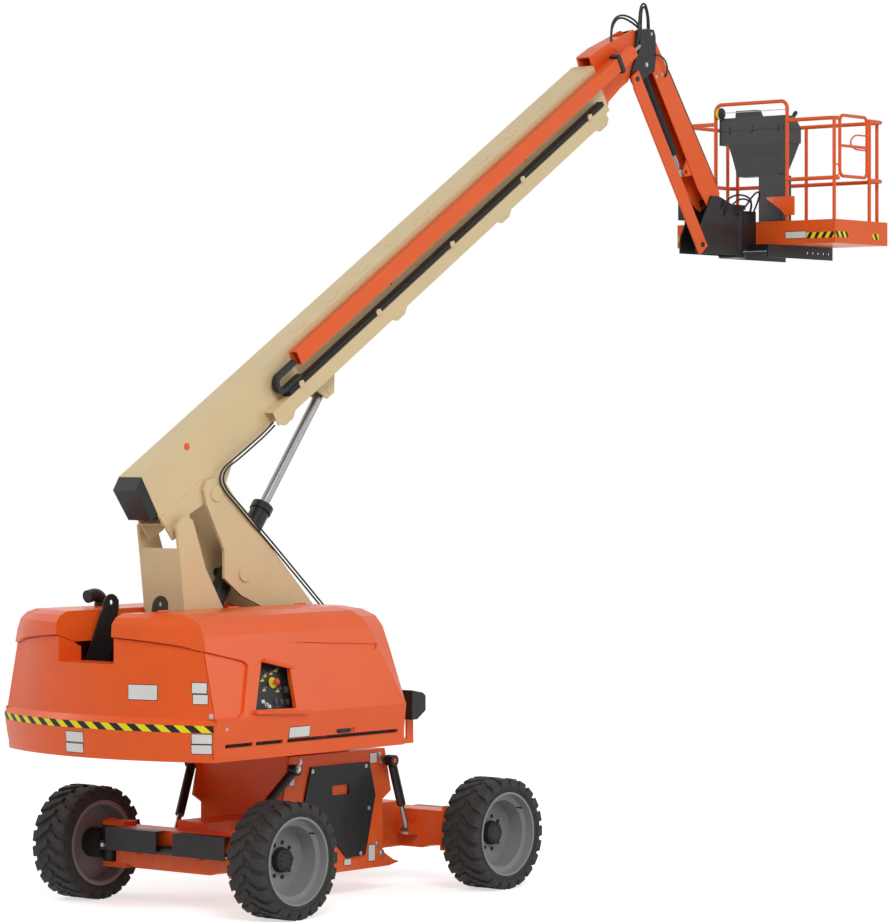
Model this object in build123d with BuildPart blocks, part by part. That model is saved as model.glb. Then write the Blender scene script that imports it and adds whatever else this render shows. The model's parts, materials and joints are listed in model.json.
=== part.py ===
from build123d import *
import os
from math import atan2, cos, degrees, hypot, radians, sin

# Telescopic boom lift. Millimetres, +X forward along the boom, +Y left, +Z up,
# origin on the ground below the swing centre.

# Running clearances
fit = 0.3
pin_fit = 0.3
run_gap = 6

# Wheels and axles
wheel_base = 2600
track = 2130
tyre_radius = 460
tyre_width = 360
rim_radius = 347
carcass_radius = 426
lug_depth = 48
lug_length = 58
lug_count = 22
hub_radius = 100
hub_inset = 140
disc_inset = 222
king_pin_y = 800
king_pin_radius = 30
yoke_radius = 70
beam_depth = 226
beam_top = 620
beam_bottom = 330
beam_end = 630
steer_arm = 150
steer_y = 742
steer_z = 468
steer_barrel_radius = 34
steer_rod_radius = 20
steer_eye = 30

# Chassis
chassis_half_width = 500
chassis_half_length = 860
chassis_top = 1180
chassis_bottom = 205
chassis_floor = 24
ring_radius = 470

# Turntable
turntable_z = 1250
deck_thickness = 40
tail_radius = 2440
body_half_width = 1150
hood_bottom = 1370
belt_z = 1606
roof_z = 2391
exhaust_foot = roof_z + 0.3
seam_x = -2140
channel_half = 300
tower_inner = 236
tower_plate = 25
skin = 14

# Boom, measured along its top edge from the rear top corner
boom_angle = 31.98
boom_x = -1900
boom_z = 3435
boom_width = 250
boom_height = 450
boom_length = 6864
boom_wall = 10
mid_clear = 8
section_step = 30
mid_stroke = 3900
pad_length = 120
pad_width = 120

# Boom linkage pins as (x, z)
rear_pin = (-1493, 3039)
front_pin = (-1100, 3297)
lift_pin = (367, 4134)
rear_base = (-850, 1690)
front_base = (306, 1863)
trunnion = (-762, 2655)
upright_inner = 146
link_plate = 26
rear_link_inner = 194
link_pin_radius = 38
lift_pin_radius = 30

corners = [
    # name, forward, outward
    ("front_left", 1, 1),
    ("front_right", 1, -1),
    ("rear_left", -1, 1),
    ("rear_right", -1, -1),
]

os.makedirs("parts", exist_ok=True)

axle_x = wheel_base / 2
wheel_y = track / 2
side_plane = Plane.XZ
boom_plane = Plane(
    origin=(boom_x, 0, boom_z),
    x_dir=(cos(radians(boom_angle)), 0, sin(radians(boom_angle))),
    z_dir=(0, -1, 0),
)


def plate(plane, near, thickness, points, mode=Mode.ADD):
    """A flat plate from an outline, starting at a distance along the plane's normal."""
    with BuildSketch(plane.offset(near)) as outline:
        Polygon(*points, align=None)
    extrude(outline.sketch, amount=thickness, mode=mode)


def twin(plane, inner, thickness, points, mode=Mode.ADD):
    """The same plate on both sides of the middle."""
    plate(plane, inner, thickness, points, mode)
    plate(plane, -inner - thickness, thickness, points, mode)


def cross(x, z, radius, half_width, mode=Mode.ADD, plane=Plane.XZ):
    """A round bar across the machine, centred on its middle."""
    disc_at(plane, -half_width, (x, z), radius, 2 * half_width, mode)


def disc_at(plane, near, centre, radius, thickness, mode=Mode.ADD):
    """A disc on a plane, starting at a distance along the plane's normal."""
    with BuildSketch(plane.offset(near)) as outline:
        with Locations(centre):
            Circle(radius)
    extrude(outline.sketch, amount=thickness, mode=mode)


def rod(start, end, radius, mode=Mode.ADD):
    """A round bar between two points."""
    a, b = Vector(*start), Vector(*end)
    with BuildSketch(Plane(origin=a, z_dir=b - a)) as outline:
        Circle(radius)
    extrude(outline.sketch, amount=(b - a).length, mode=mode)


def block(x0, x1, y0, y1, z0, z1, mode=Mode.ADD):
    """A rectangular block from its limits."""
    with BuildSketch(Plane.XY.offset(z0)) as outline:
        with Locations(((x0 + x1) / 2, (y0 + y1) / 2)):
            Rectangle(abs(x1 - x0), abs(y1 - y0))
    extrude(outline.sketch, amount=z1 - z0, mode=mode)


def bent(points, corner, radius, mode=Mode.ADD):
    """A round bar bent along a line of points."""
    with BuildLine() as path:
        FilletPolyline(*points, radius=corner)
    with BuildSketch(Plane(origin=path.line @ 0, z_dir=path.line % 0)) as ring:
        Circle(radius)
    sweep(ring.sketch, path=path.line, mode=mode)


def save(builder, name):
    """Label a finished piece and write its file."""
    builder.part.label = name
    export_step(builder.part, f"parts/{name}.step")


# Chassis body

def mirror_x(points):
    """The same outline turned end for end."""
    return [(-x, z) for x, z in points]


lift_top = (600, 562, 1080)
lift_eye = (1105, 305, 450)
direction = Vector(*lift_eye) - Vector(*lift_top)
eye_half = 37
side_front = [
    (0, chassis_top), (587, chassis_top), (668, 826), (560, 760), (560, 330),
    (700, 250), (777, 230), (640, chassis_bottom), (0, chassis_bottom),
]
arm_end = axle_x - beam_depth / 2

with BuildPart() as chassis_frame:
    for points in (side_front, mirror_x(side_front)):
        twin(side_plane, chassis_half_width - chassis_floor, chassis_floor, points)
    inner = chassis_half_width - chassis_floor
    block(-560, 560, -inner, inner, chassis_top - chassis_floor, chassis_top)
    block(-560, 560, -inner, inner, chassis_bottom, chassis_bottom + chassis_floor)
    for side in (-1, 1):
        face = 560 * side
        block(face - 12, face + 12, -inner, inner, chassis_bottom, chassis_top)
        block(face, arm_end * side, -170, 170, 300, 680)
        with BuildSketch(Plane.XY.offset(chassis_top)):
            Circle(ring_radius)
            Circle(ring_radius - 60, mode=Mode.SUBTRACT)
        extrude(amount=20)
    for end in (-1, 1):
        for side in (-1, 1):
            rod(
                (end * lift_top[0], side * (chassis_half_width - 2), lift_top[2]),
                (end * lift_top[0], side * (lift_top[1] + 40), lift_top[2]), 20,
            )
save(chassis_frame, "chassis_frame")

cover_outline = [(-341, 1082), (377, 1081), (450, 804), (324, 324), (97, 316), (-422, 815)]
with BuildPart() as side_covers:
    for side in (-1, 1):
        near = side * chassis_half_width if side > 0 else -chassis_half_width - 18
        plate(side_plane, near, 18, cover_outline)
        plate(side_plane, near, 18, [(-88, 835), (118, 835), (118, 917), (-88, 917)], Mode.SUBTRACT)
save(side_covers, "side_covers")

beam_outline = [
    (0, beam_top), (beam_end, beam_top), (beam_end, beam_bottom), (500, beam_bottom), (400, 300), (0, 300),
]
for name, end in (("front", 1), ("rear", -1)):
    centre_x = end * axle_x
    with BuildPart() as axle_beam:
        plate(Plane.YZ, centre_x - beam_depth / 2, beam_depth, beam_outline)
        plate(Plane.YZ, centre_x - beam_depth / 2, beam_depth, mirror_x(beam_outline))
        for side in (-1, 1):
            for low, high in ((beam_top - 4, beam_top + 36), (beam_bottom - 46, beam_bottom - 4)):
                with BuildSketch(Plane.XY.offset(low)):
                    with Locations((centre_x, side * king_pin_y)):
                        Circle(yoke_radius)
                    with Locations((centre_x, side * (king_pin_y - 110))):
                        Rectangle(2 * yoke_radius, 220)
                extrude(amount=high - low)
            block(centre_x - yoke_radius, centre_x + yoke_radius, side * 560, side * beam_end, 284, 340)
            with BuildSketch(Plane.XY.offset(beam_bottom - 56)):
                with Locations((centre_x, side * king_pin_y)):
                    Circle(king_pin_radius)
            extrude(amount=beam_top - beam_bottom + 102)
            for inner in (lift_eye[1] - eye_half - fit - 18, lift_eye[1] + eye_half + fit):
                with BuildSketch(side_plane.offset(-side * (inner + 9) - 9)):
                    Polygon(
                        (end * (lift_eye[0] - 34), lift_eye[2] - 34), (end * (axle_x - 100), lift_eye[2] - 50),
                        (end * (axle_x - 100), lift_eye[2] + 60), (end * (lift_eye[0] - 34), lift_eye[2] + 34),
                        align=None,
                    )
                extrude(amount=18)
            rod(
                (end * lift_eye[0], side * (lift_eye[1] - eye_half - 2), lift_eye[2]),
                (end * lift_eye[0], side * (lift_eye[1] + eye_half + 2), lift_eye[2]), 16,
            )
            block(centre_x + end * 100, centre_x + end * (steer_arm + steer_barrel_radius), side * 330, side * 350, 420, 520)
            rod(
                (centre_x + end * steer_arm, side * 300, steer_z), (centre_x + end * steer_arm, side * 400, steer_z),
                steer_rod_radius + fit, Mode.SUBTRACT,
            )
    save(axle_beam, f"{name}_axle")

with BuildPart() as levelling_barrels:
    for end in (-1, 1):
        for side in (-1, 1):
            top = Vector(lift_top[0] * end, lift_top[1] * side, lift_top[2])
            run = Vector(direction.X * end, direction.Y * side, direction.Z)
            rod(tuple(top + run * 0.05), tuple(top + run * 0.62), 38)
            rod(tuple(top + run * 0.1), tuple(top + run * 0.63), 22 + fit, Mode.SUBTRACT)
    for end in (-1, 1):
        for side in (-1, 1):
            eye = (end * lift_top[0], lift_top[2])
            near = -side * lift_top[1] - 40
            disc_at(side_plane, near, eye, 46, 80)
            disc_at(side_plane, near - 60, eye, 20 + pin_fit, 200, Mode.SUBTRACT)
save(levelling_barrels, "levelling_barrels")

with BuildPart() as levelling_rods:
    for end in (-1, 1):
        for side in (-1, 1):
            top = Vector(lift_top[0] * end, lift_top[1] * side, lift_top[2])
            run = Vector(direction.X * end, direction.Y * side, direction.Z)
            rod(tuple(top + run * 0.3), tuple(top + run * 0.95), 22)
    for end in (-1, 1):
        for side in (-1, 1):
            eye = (end * lift_eye[0], lift_eye[2])
            near = -side * lift_eye[1] - eye_half
            disc_at(side_plane, near, eye, 40, 2 * eye_half)
            disc_at(side_plane, near - 20, eye, 16 + pin_fit, 108, Mode.SUBTRACT)
save(levelling_rods, "levelling_rods")

steer_x = axle_x + steer_arm
cover_near = steer_x + 58
with BuildPart() as steer_cylinders:
    for end in (-1, 1):
        rod((end * steer_x, -330 + fit, steer_z), (end * steer_x, 330 - fit, steer_z), steer_barrel_radius)
        rod((end * steer_x, -331, steer_z), (end * steer_x, 331, steer_z), steer_rod_radius + fit, Mode.SUBTRACT)
        for side in (-1, 1):
            block(end * cover_near, end * (cover_near + 8), side * 90, side * 650, 440, beam_top)
            block(end * (axle_x + beam_depth / 2 + fit), end * (cover_near + 8), side * 90, side * 650, beam_top - 10, beam_top)
save(steer_cylinders, "steer_cylinders")

for name, end in (("front", 1), ("rear", -1)):
    with BuildPart() as steer_rod:
        rod((end * steer_x, -steer_y + 30, steer_z), (end * steer_x, steer_y - 30, steer_z), steer_rod_radius)
        for side in (-1, 1):
            with BuildSketch(Plane.XY.offset(steer_z - 15)):
                with Locations((end * steer_x, side * steer_y)):
                    Circle(steer_eye)
            extrude(amount=30)
    save(steer_rod, f"{name}_steer_rod")

# Knuckles and wheels

knuckle_low = beam_bottom - 4 + run_gap
knuckle_high = beam_top - 4 - run_gap
disc_y = wheel_y + tyre_width / 2 - disc_inset
for name, end, side in corners:
    centre = (end * axle_x, side * wheel_y, tyre_radius)
    with BuildPart() as knuckle:
        with BuildSketch(Plane.XY.offset(knuckle_low)):
            with Locations((centre[0], side * king_pin_y)):
                Circle(yoke_radius - 5)
        extrude(amount=knuckle_high - knuckle_low)
        rod((centre[0], side * (king_pin_y + 30), tyre_radius), (centre[0], side * (disc_y - 14 - fit), tyre_radius), 120)
        for low in (steer_z - 15 - run_gap - 16, steer_z + 15 + run_gap):
            with BuildSketch(Plane.XY.offset(low)):
                with BuildLine():
                    Polyline(
                        (centre[0] - end * 10, side * (king_pin_y - 45)),
                        (end * steer_x, side * (steer_y - steer_eye)),
                        (end * steer_x, side * (steer_y + steer_eye)),
                        (centre[0] - end * 10, side * (king_pin_y + 45)),
                        close=True,
                    )
                make_face()
                with Locations((end * steer_x, side * steer_y)):
                    Circle(steer_eye)
            extrude(amount=16)
        with BuildSketch(Plane.XY.offset(knuckle_low - 1)):
            with Locations((centre[0], side * king_pin_y)):
                Circle(king_pin_radius + pin_fit)
        extrude(amount=knuckle_high - knuckle_low + 2, mode=Mode.SUBTRACT)
    save(knuckle, f"{name}_knuckle")

    wheel_plane = Plane(origin=centre, x_dir=(0, side, 0), z_dir=(side, 0, 0))
    spin = Axis(centre, (0, 1, 0))
    half = tyre_width / 2
    with BuildPart() as tyre:
        with BuildSketch(wheel_plane):
            with BuildLine():
                Polyline(
                    (-half + 22, rim_radius), (-half + 4, rim_radius + 28), (-half + 12, carcass_radius),
                    (half - 12, carcass_radius), (half - 4, rim_radius + 28), (half - 22, rim_radius), close=True,
                )
            make_face()
        revolve(axis=spin)
        for hand in (-1, 1):
            lug_start = centre[1] + (half if hand > 0 else -4)
            with BuildSketch(Plane.XZ.offset(-lug_start)) as lugs:
                with Locations((centre[0], centre[2])):
                    Circle(carcass_radius - 6)
                    Circle(carcass_radius - 20, mode=Mode.SUBTRACT)
                    with PolarLocations(tyre_radius - lug_depth / 2, lug_count, 90 * (hand + 1) / lug_count):
                        Rectangle(lug_depth, lug_length)
            extrude(lugs.sketch, amount=half - 4)
    save(tyre, f"{name}_tyre")

    disc = disc_y - wheel_y
    lip = half - 10
    with BuildPart() as rim:
        with BuildSketch(wheel_plane):
            with BuildLine():
                Polyline(
                    (-lip, 322), (-lip, rim_radius - fit), (lip, rim_radius - fit), (lip, 328),
                    (lip - 60, 318), (lip - 70, 275), (disc + 16, 262), (disc + 16, hub_radius),
                    (disc, hub_radius), (disc, 292), (-lip + 10, 310), close=True,
                )
            make_face()
        revolve(axis=spin)
    save(rim, f"{name}_rim")

    with BuildPart() as hub:
        with BuildSketch(wheel_plane):
            with BuildLine():
                Polyline(
                    (disc - 14, 0), (disc - 14, hub_radius - 10), (disc, hub_radius - 10), (disc, hub_radius),
                    (disc + 30, hub_radius), (half - hub_inset - 14, hub_radius - 8),
                    (half - hub_inset, hub_radius - 24), (half - hub_inset, 0), close=True,
                )
            make_face()
        revolve(axis=spin)
    save(hub, f"{name}_hub")


# Turntable

def tail_outline(inset, front):
    """Counterweight outline: a swing arc at the back, straight sides and front."""
    half = body_half_width - inset
    back = tail_radius - inset
    corner = -(back * back - half * half) ** 0.5
    with BuildLine() as outline:
        ThreePointArc((corner, half), (-back, 0), (corner, -half))
        Polyline((corner, -half), (front, -half), (front, half), (corner, half))
    make_face(outline.edges())


deck_top = turntable_z + deck_thickness
slab_bottom = 1272
slab_front = seam_x + 390
slab_top = 1300
seam_gap = 6
sill_front = 105
sill_y = 1116
tower_outline = [
    (-1120, deck_top - 2), (-1000, 1760), (-900, 1790), (-780, 1780), (-500, 1600), (-100, 1700),
    (180, 1960), (306, 1990), (430, 1900), (470, 1700), (470, deck_top - 2),
]
with BuildPart() as turntable_frame:
    block(slab_front + fit, 480, -900, 900, turntable_z, deck_top)
    twin(side_plane, tower_inner, tower_plate, tower_outline)
    block(440, 470, -tower_inner - 2, tower_inner + 2, deck_top - 2, 1620)
    for side in (-1, 1):
        block(slab_front + fit, sill_front, side * 880, side * sill_y, slab_bottom, deck_top)
        block(slab_front + fit, sill_front, side * (sill_y - 40), side * sill_y, slab_bottom, hood_bottom - fit)
        block(seam_x + seam_gap, slab_front + 10, side * (sill_y - 40), side * sill_y, slab_top + fit, hood_bottom - fit)
        block(sill_front - 30, sill_front, side * (channel_half + 10), side * sill_y, deck_top - 2, hood_bottom - fit)
        block(400, 480, side * 880, side * 898, deck_top - 2, 1660)
    for x, z in (rear_base, front_base):
        cross(x, z, link_pin_radius, tower_inner + 2)
save(turntable_frame, "turntable_frame")

with BuildPart() as slew_ring:
    disc_at(Plane.XY, chassis_top + 20 + fit, (0, 0), ring_radius, turntable_z - chassis_top - 20 - 2 * fit)
save(slew_ring, "slew_ring")


def body_plan(z, half, front, corner_x, corner_y, back, crease_x, crease_y):
    """Plan of the bodywork at one height: bowed back, slanted rear corners, sides and front facets."""
    with BuildSketch(Plane.XY.offset(z)) as plan:
        with BuildLine() as edge:
            ThreePointArc((crease_x, crease_y), (back, 0), (crease_x, -crease_y))
            Polyline(
                (crease_x, -crease_y), (seam_x, -half), (corner_x, -half), (front, -corner_y),
                (front, corner_y), (corner_x, half), (seam_x, half), (crease_x, crease_y),
            )
        make_face(edge.edges())
    return plan.sketch


notch_floor = 2003
lip_gap = 5
wall_foot = (1600, 1126, 0, -60, 1000, -2402, -2238, 872)
wall_top = (2230, 985, 0, -60, 900, -2414, -2214, 822)
lip_line = [(-3000, 2300), (-2424, 2218), (-2222, 2155), (seam_x - 20, 2120)]
with BuildPart() as counterweight:
    for low, low_inset, high, high_inset in ((slab_bottom, 36, 1560, 0), (1560, 0, 1605, 36)):
        with BuildSketch(Plane.XY.offset(low)):
            tail_outline(low_inset, slab_front)
        with BuildSketch(Plane.XY.offset(high)):
            tail_outline(high_inset, slab_front)
        loft(ruled=True)
    loft([body_plan(*wall_foot), body_plan(*wall_top)], ruled=True)
    block(seam_x, 1000, -1500, 1500, slab_top, 2600, Mode.SUBTRACT)
    block(slab_front, 1000, -1500, 1500, slab_bottom - 10, 2600, Mode.SUBTRACT)
    block(-3000, 0, -channel_half, channel_half, notch_floor, 2600, Mode.SUBTRACT)
    plate(
        side_plane, -1500, 3000,
        [(x, z - lip_gap) for x, z in lip_line] + [(seam_x + 100, 2120 - lip_gap), (seam_x + 100, 2700), (-3000, 2700)],
        Mode.SUBTRACT,
    )
save(counterweight, "counterweight")

hood_levels = [
    # height, half width, front, corner along the side, corner across the front, back, crease x, crease y
    (hood_bottom, 1118, 118, 100, 1100, -2440, -2262, 905),
    (belt_z, 1150, 112, 92, 1128, -2440, -2262, 905),
    (2044, 1053, 82, -128, 985, -2440, -2246, 862),
    (2225, 1012, 60, -215, 925, -2440, -2240, 845),
    (2310, 975, 22, -255, 880, -2436, -2230, 825),
    (2362, 905, -50, -310, 800, -2395, -2195, 790),
    (roof_z, 800, -190, -380, 700, -2320, -2150, 720),
]


def hood_form(inset, top_inset=0, front_inset=0, foot=0):
    """The bodywork's outer form, brought in by the same amount all round."""
    plans = []
    for z, half, front, corner_x, corner_y, back, crease_x, crease_y in hood_levels:
        level = z - (top_inset if z > 2300 else 0) - (foot if z == hood_bottom else 0)
        plans.append(body_plan(
            level, half - inset, front - front_inset, corner_x - inset / 2, corner_y - inset,
            back + inset, crease_x + inset, crease_y - inset / 2,
        ))
    with BuildPart() as form:
        loft(plans, ruled=True)
    return form.part


recess_depth, groove_depth = 22, 12
recess = lip_line + [
    (-1767, 2037), (-1715, 2020), (-1695, 1988), (-1827, 1641), (-1885, 1606), (seam_x, 1606), (seam_x, 1300), (-3000, 1300),
]
groove = [(-1171, 2150), (-141, 2092), (-178, 2050)]
window = [(-1539, 2012), (-1223, 1944), (-1224, 1640), (-1691, 1650)]
vents = [(-2015, -1705), (-1667, -1358), (-1307, 20)]
hood_outer = hood_form(0)
hood_recessed = hood_form(recess_depth)
hood_grooved = hood_form(groove_depth)
hood_inside = hood_form(recess_depth + skin, skin, skin, 60)
for name, side in (("left", 1), ("right", -1)):
    with BuildPart() as cavity:
        add(hood_inside)
        block(-3000, 1000, -side * 2000, side * (channel_half + skin), 1000, 3000, Mode.SUBTRACT)
    with BuildPart() as recessed:
        add(hood_recessed)
        block(-3000, seam_x + seam_gap, -2000, 2000, 1000, 3000, Mode.SUBTRACT)
        block(-1600, 1000, -2000, 2000, 1000, 3000, Mode.SUBTRACT)
    with BuildPart() as grooved:
        add(hood_grooved)
        block(-3000, -1250, -2000, 2000, 1000, 3000, Mode.SUBTRACT)
    with BuildPart() as hood:
        add(hood_outer)
        plate(side_plane, -2000, 4000, recess, Mode.SUBTRACT)
        plate(side_plane, -2000, 4000, groove, Mode.SUBTRACT)
        block(-3000, seam_x + seam_gap, -2000, 2000, 1000, 1650, Mode.SUBTRACT)
        add(recessed.part)
        add(grooved.part)
        for start, end in vents:
            block(start, end, side * 1000, side * 1300, 1376, 1404, Mode.SUBTRACT)
        block(-747, -516, side * 1114, side * 1300, 1406, 1448, Mode.SUBTRACT)
        if side < 0:
            plate(side_plane, 1040, 140, [(-1722, 1650), (-1118, 1620), (-1118, 1594), (-1722, 1624)])
            plate(side_plane, 1030, 62, [(-1539, 2012), (-1518, 2034), (-1171, 1961), (-1223, 1944)])
            plate(side_plane, 900, 400, window, Mode.SUBTRACT)
        add(cavity.part, mode=Mode.SUBTRACT)
        block(-3000, 1000, -side * 2000, side * channel_half, 1000, 3000, Mode.SUBTRACT)
        block(-3000, 40, side * (channel_half - 1), side * (channel_half + skin + 1), 1000, 2150, Mode.SUBTRACT)
        for start in (-1900, -1100, -300):
            rod((start, side * 302, 2391), (start + 120, side * 302, 2391), 9)
    save(hood, f"hood_{name}")

panel_section = [(1072, 1600), (978, 2030), (955, 2030), (1045, 1600), (1045, deck_top + fit), (1072, deck_top + fit)]
with BuildPart() as ground_panel:
    plate(Plane.YZ, -1715, 530, [(-y, z) for y, z in panel_section])
save(ground_panel, "ground_panel")

with BuildPart() as engine_block:
    block(-1650, -600, 400, 900, deck_top, 1950)
save(engine_block, "engine_block")

lug_eye = (-1838, 2445)
lug_outline = [
    (-2127, slab_top + fit), (-2127, 1988), (-1932, 2400), (-1920, 2455), (-1892, 2492), (-1855, 2510), (-1822, 2510),
    (-1785, 2492), (-1757, 2455), (-1757, 2400), (-1859, 1964), (-1859, slab_top + fit),
]
with BuildPart() as lifting_lugs:
    twin(side_plane, 262, 14, lug_outline)
    cross(*lug_eye, 20, 400, Mode.SUBTRACT)
save(lifting_lugs, "lifting_lugs")

exhaust_x, exhaust_y = -1500, 700
with BuildPart() as exhaust:
    bent([(exhaust_x, exhaust_y, 2250), (exhaust_x, exhaust_y, 2500), (exhaust_x - 170, exhaust_y, 2470)], 90, 52)
    rod((exhaust_x, exhaust_y, 2250), (exhaust_x, exhaust_y, 2420), 66)
    plate(Plane.YZ, exhaust_x - 100, 200, [(400, 2250), (1000, 2250), (1000, exhaust_foot), (400, exhaust_foot)], Mode.SUBTRACT)
save(exhaust, "exhaust")

buffer_outline = [(335, 1690), (470, 1665), (505, 1640), (505, 1520), (400, 1452), (335, 1450)]
with BuildPart() as front_buffers:
    twin(side_plane, 898 + fit, 110, buffer_outline)
save(front_buffers, "front_buffers")

# Boom linkage

rear_plate = [
    (-1600, 3051), (-1577, 2884), (-1515, 2380), (-1190, 1600), (-900, 1560), (-760, 1650),
    (-760, 1760), (-1051, 2363), (-1269, 2705), (-1416, 3090), (-1493, 3134),
]
with BuildPart() as rear_link:
    twin(side_plane, rear_link_inner, link_plate, rear_plate)
    plate(side_plane, -rear_link_inner - 2, 2 * rear_link_inner + 4, [(-1573, 2870), (-1545, 2870), (-1470, 2250), (-1498, 2250)])
    cross(*rear_base, link_pin_radius + pin_fit, 600, Mode.SUBTRACT)
save(rear_link, "rear_link")

upright_plate = [
    (-1233, 3330), (-1202, 3203), (-999, 2836), (-999, 2617), (-801, 2476), (-441, 2335), (180, 1780),
    (306, 1745), (410, 1800), (425, 1900), (133, 2313), (-888, 3273), (-1000, 3400), (-1100, 3425), (-1200, 3400),
]
with BuildPart() as upright:
    twin(side_plane, upright_inner, link_plate, upright_plate)
    plate(side_plane, -upright_inner - 2, 2 * upright_inner + 4, [(133, 2313), (425, 1900), (405, 1885), (113, 2298)])
    plate(side_plane, -upright_inner - 2, 2 * upright_inner + 4, [(-330, 2300), (-310, 2310), (180, 1800), (165, 1785)])
    cross(*front_pin, link_pin_radius, upright_inner + 2)
    cross(*front_base, link_pin_radius + pin_fit, 600, Mode.SUBTRACT)
    for side in (-1, 1):
        disc_at(side_plane, side * (upright_inner + link_plate + 5) - 8, trunnion, 70, 16)
        disc_at(side_plane, side * (upright_inner + link_plate + 5) - 8, front_pin, 62, 16)
save(upright, "upright")

lift_run = Vector(lift_pin[0] - trunnion[0], 0, lift_pin[1] - trunnion[1])
lift_unit = lift_run.normalized()
at_trunnion = Vector(trunnion[0], 0, trunnion[1])
at_pin = Vector(lift_pin[0], 0, lift_pin[1])
collar = at_trunnion + lift_unit * 670
rod_radius = 40
with BuildPart() as lift_barrel:
    rod(tuple(at_trunnion - lift_unit * 640), tuple(collar), 80)
    rod(tuple(at_trunnion - lift_unit * 600), tuple(collar + lift_unit), rod_radius + fit, Mode.SUBTRACT)
    for side in (-1, 1):
        disc_at(side_plane, side * 104 - 36, trunnion, 34, 72)
    rod(tuple(collar - lift_unit * 60), tuple(collar), 92)
    rod(tuple(at_trunnion + lift_unit * 560), tuple(collar + lift_unit), rod_radius + fit, Mode.SUBTRACT)
save(lift_barrel, "lift_barrel")

with BuildPart() as lift_rod:
    rod(tuple(at_trunnion + lift_unit * 60), tuple(at_pin - lift_unit * 30), rod_radius)
    cross(*lift_pin, 62, 45)
    cross(*lift_pin, lift_pin_radius + pin_fit, 100, Mode.SUBTRACT)
save(lift_rod, "lift_rod")

# Boom

def on_boom(x, z):
    """A side-view point as distance along the boom's top edge and height above it."""
    turn = radians(boom_angle)
    dx, dz = x - boom_x, z - boom_z
    return dx * cos(turn) + dz * sin(turn), -dx * sin(turn) + dz * cos(turn)


def pads(start, low, high, gap):
    """Wear pads inside a section's mouth, reaching to the section that slides in it."""
    for near, far in ((low - 1, low + gap - fit), (high - gap + fit, high + 1)):
        plate(
            boom_plane, -pad_width / 2, pad_width,
            [(start, near), (start + pad_length, near), (start + pad_length, far), (start, far)],
        )


def tube(start, end, half_width, low, high, wall):
    """A rectangular tube along the boom."""
    plate(boom_plane, -half_width, 2 * half_width, [(start, low), (end, low), (end, high), (start, high)])
    inner_low, inner_high = low + wall, high - wall
    plate(
        boom_plane, -half_width + wall, 2 * (half_width - wall),
        [(start - 1, inner_low), (end + 1, inner_low), (end + 1, inner_high), (start - 1, inner_high)],
        Mode.SUBTRACT,
    )


rear_lug = on_boom(*rear_pin)
front_lug = on_boom(*front_pin)
lift_lug = on_boom(*lift_pin)
boom_half = boom_width / 2
lug_plate = 12
with BuildPart() as base_boom:
    tube(0, boom_length, boom_half, -boom_height, 0, boom_wall)
    pads(boom_length - pad_length - 10, -boom_height + boom_wall, -boom_wall, mid_clear)
    for points in (
        [(0, -380), (30, -610), (200, -625), (302, -537), (507, -560), (560, -625), (680, -625), (948, -448), (900, -380)],
    ):
        twin(boom_plane, boom_half - boom_wall, lug_plate + boom_wall - 2, points)
    twin(boom_plane, 60, 20, [(2120, -448), (2240, -660), (2340, -660), (2480, -448)])
    with BuildSketch(boom_plane.offset(-400)) as bore:
        with Locations(front_lug):
            Circle(link_pin_radius + pin_fit)
    extrude(bore.sketch, amount=800, mode=Mode.SUBTRACT)
    disc_at(boom_plane, -84, lift_lug, lift_pin_radius, 168)
save(base_boom, "base_boom")

with BuildPart() as boom_end_cap:
    plate(boom_plane, -boom_half, boom_width, [(-fit, -2), (-fit, -348), (-88, -347), (-109, -55)])
save(boom_end_cap, "boom_end_cap")

mid_half = boom_half - boom_wall - mid_clear
mid_low, mid_high = -boom_height + boom_wall + mid_clear, -boom_wall - mid_clear
with BuildPart() as mid_boom:
    tube(200, boom_length + 20, mid_half, mid_low, mid_high, 8)
    pads(boom_length - pad_length, mid_low + 8, mid_high - 8, mid_clear)
save(mid_boom, "mid_boom")

fly_half = mid_half - 8 - mid_clear
fly_low, fly_high = mid_low + 8 + mid_clear, mid_high - 8 - mid_clear
head_pin = (4665, 7357)
head_at = on_boom(*head_pin)
nose_half = 80
tube_near, tube_width = 145, 80
nose_outline = [
    (6917, 75), (7127, 62), (7435, 9), (7621, -19), (head_at[0] + 60, head_at[1] + 40), (head_at[0] + 60, head_at[1] - 40),
    (head_at[0] + 10, -222), (7500, -262), (7308, -385), (7172, -382), (6917, fly_low + 10), (6900, -40),
]
with BuildPart() as fly_boom:
    tube(300, boom_length + 60, fly_half, fly_low, fly_high, 8)
    plate(boom_plane, -fly_half, 2 * fly_half, [(6900, fly_low), (6924, fly_low), (6924, fly_high), (6900, fly_high)])
    twin(boom_plane, nose_half - 16, 16, nose_outline)
    plate(boom_plane, -nose_half, 2 * nose_half, [(6917, 75), (7127, 62), (7435, 9), (7435, -5), (7127, 48), (6917, 61)])
    plate(
        boom_plane, nose_half - 2, tube_near - nose_half + 2 - fit,
        [(6925, -70), (7110, -80), (7110, -150), (6925, -160)],
    )
    disc_at(boom_plane, -200, head_at, 28 + pin_fit, 400, Mode.SUBTRACT)
save(fly_boom, "fly_boom")

with BuildPart() as carrier_tube:
    plate(boom_plane, tube_near, tube_width, [(1980, -50), (7340, -50), (7385, -100), (7385, -170), (7340, -175), (1980, -175)])
    plate(boom_plane, tube_near + 8, tube_width - 16, [(1970, -58), (7330, -58), (7330, -167), (1970, -167)], Mode.SUBTRACT)
save(carrier_tube, "carrier_tube")

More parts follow.
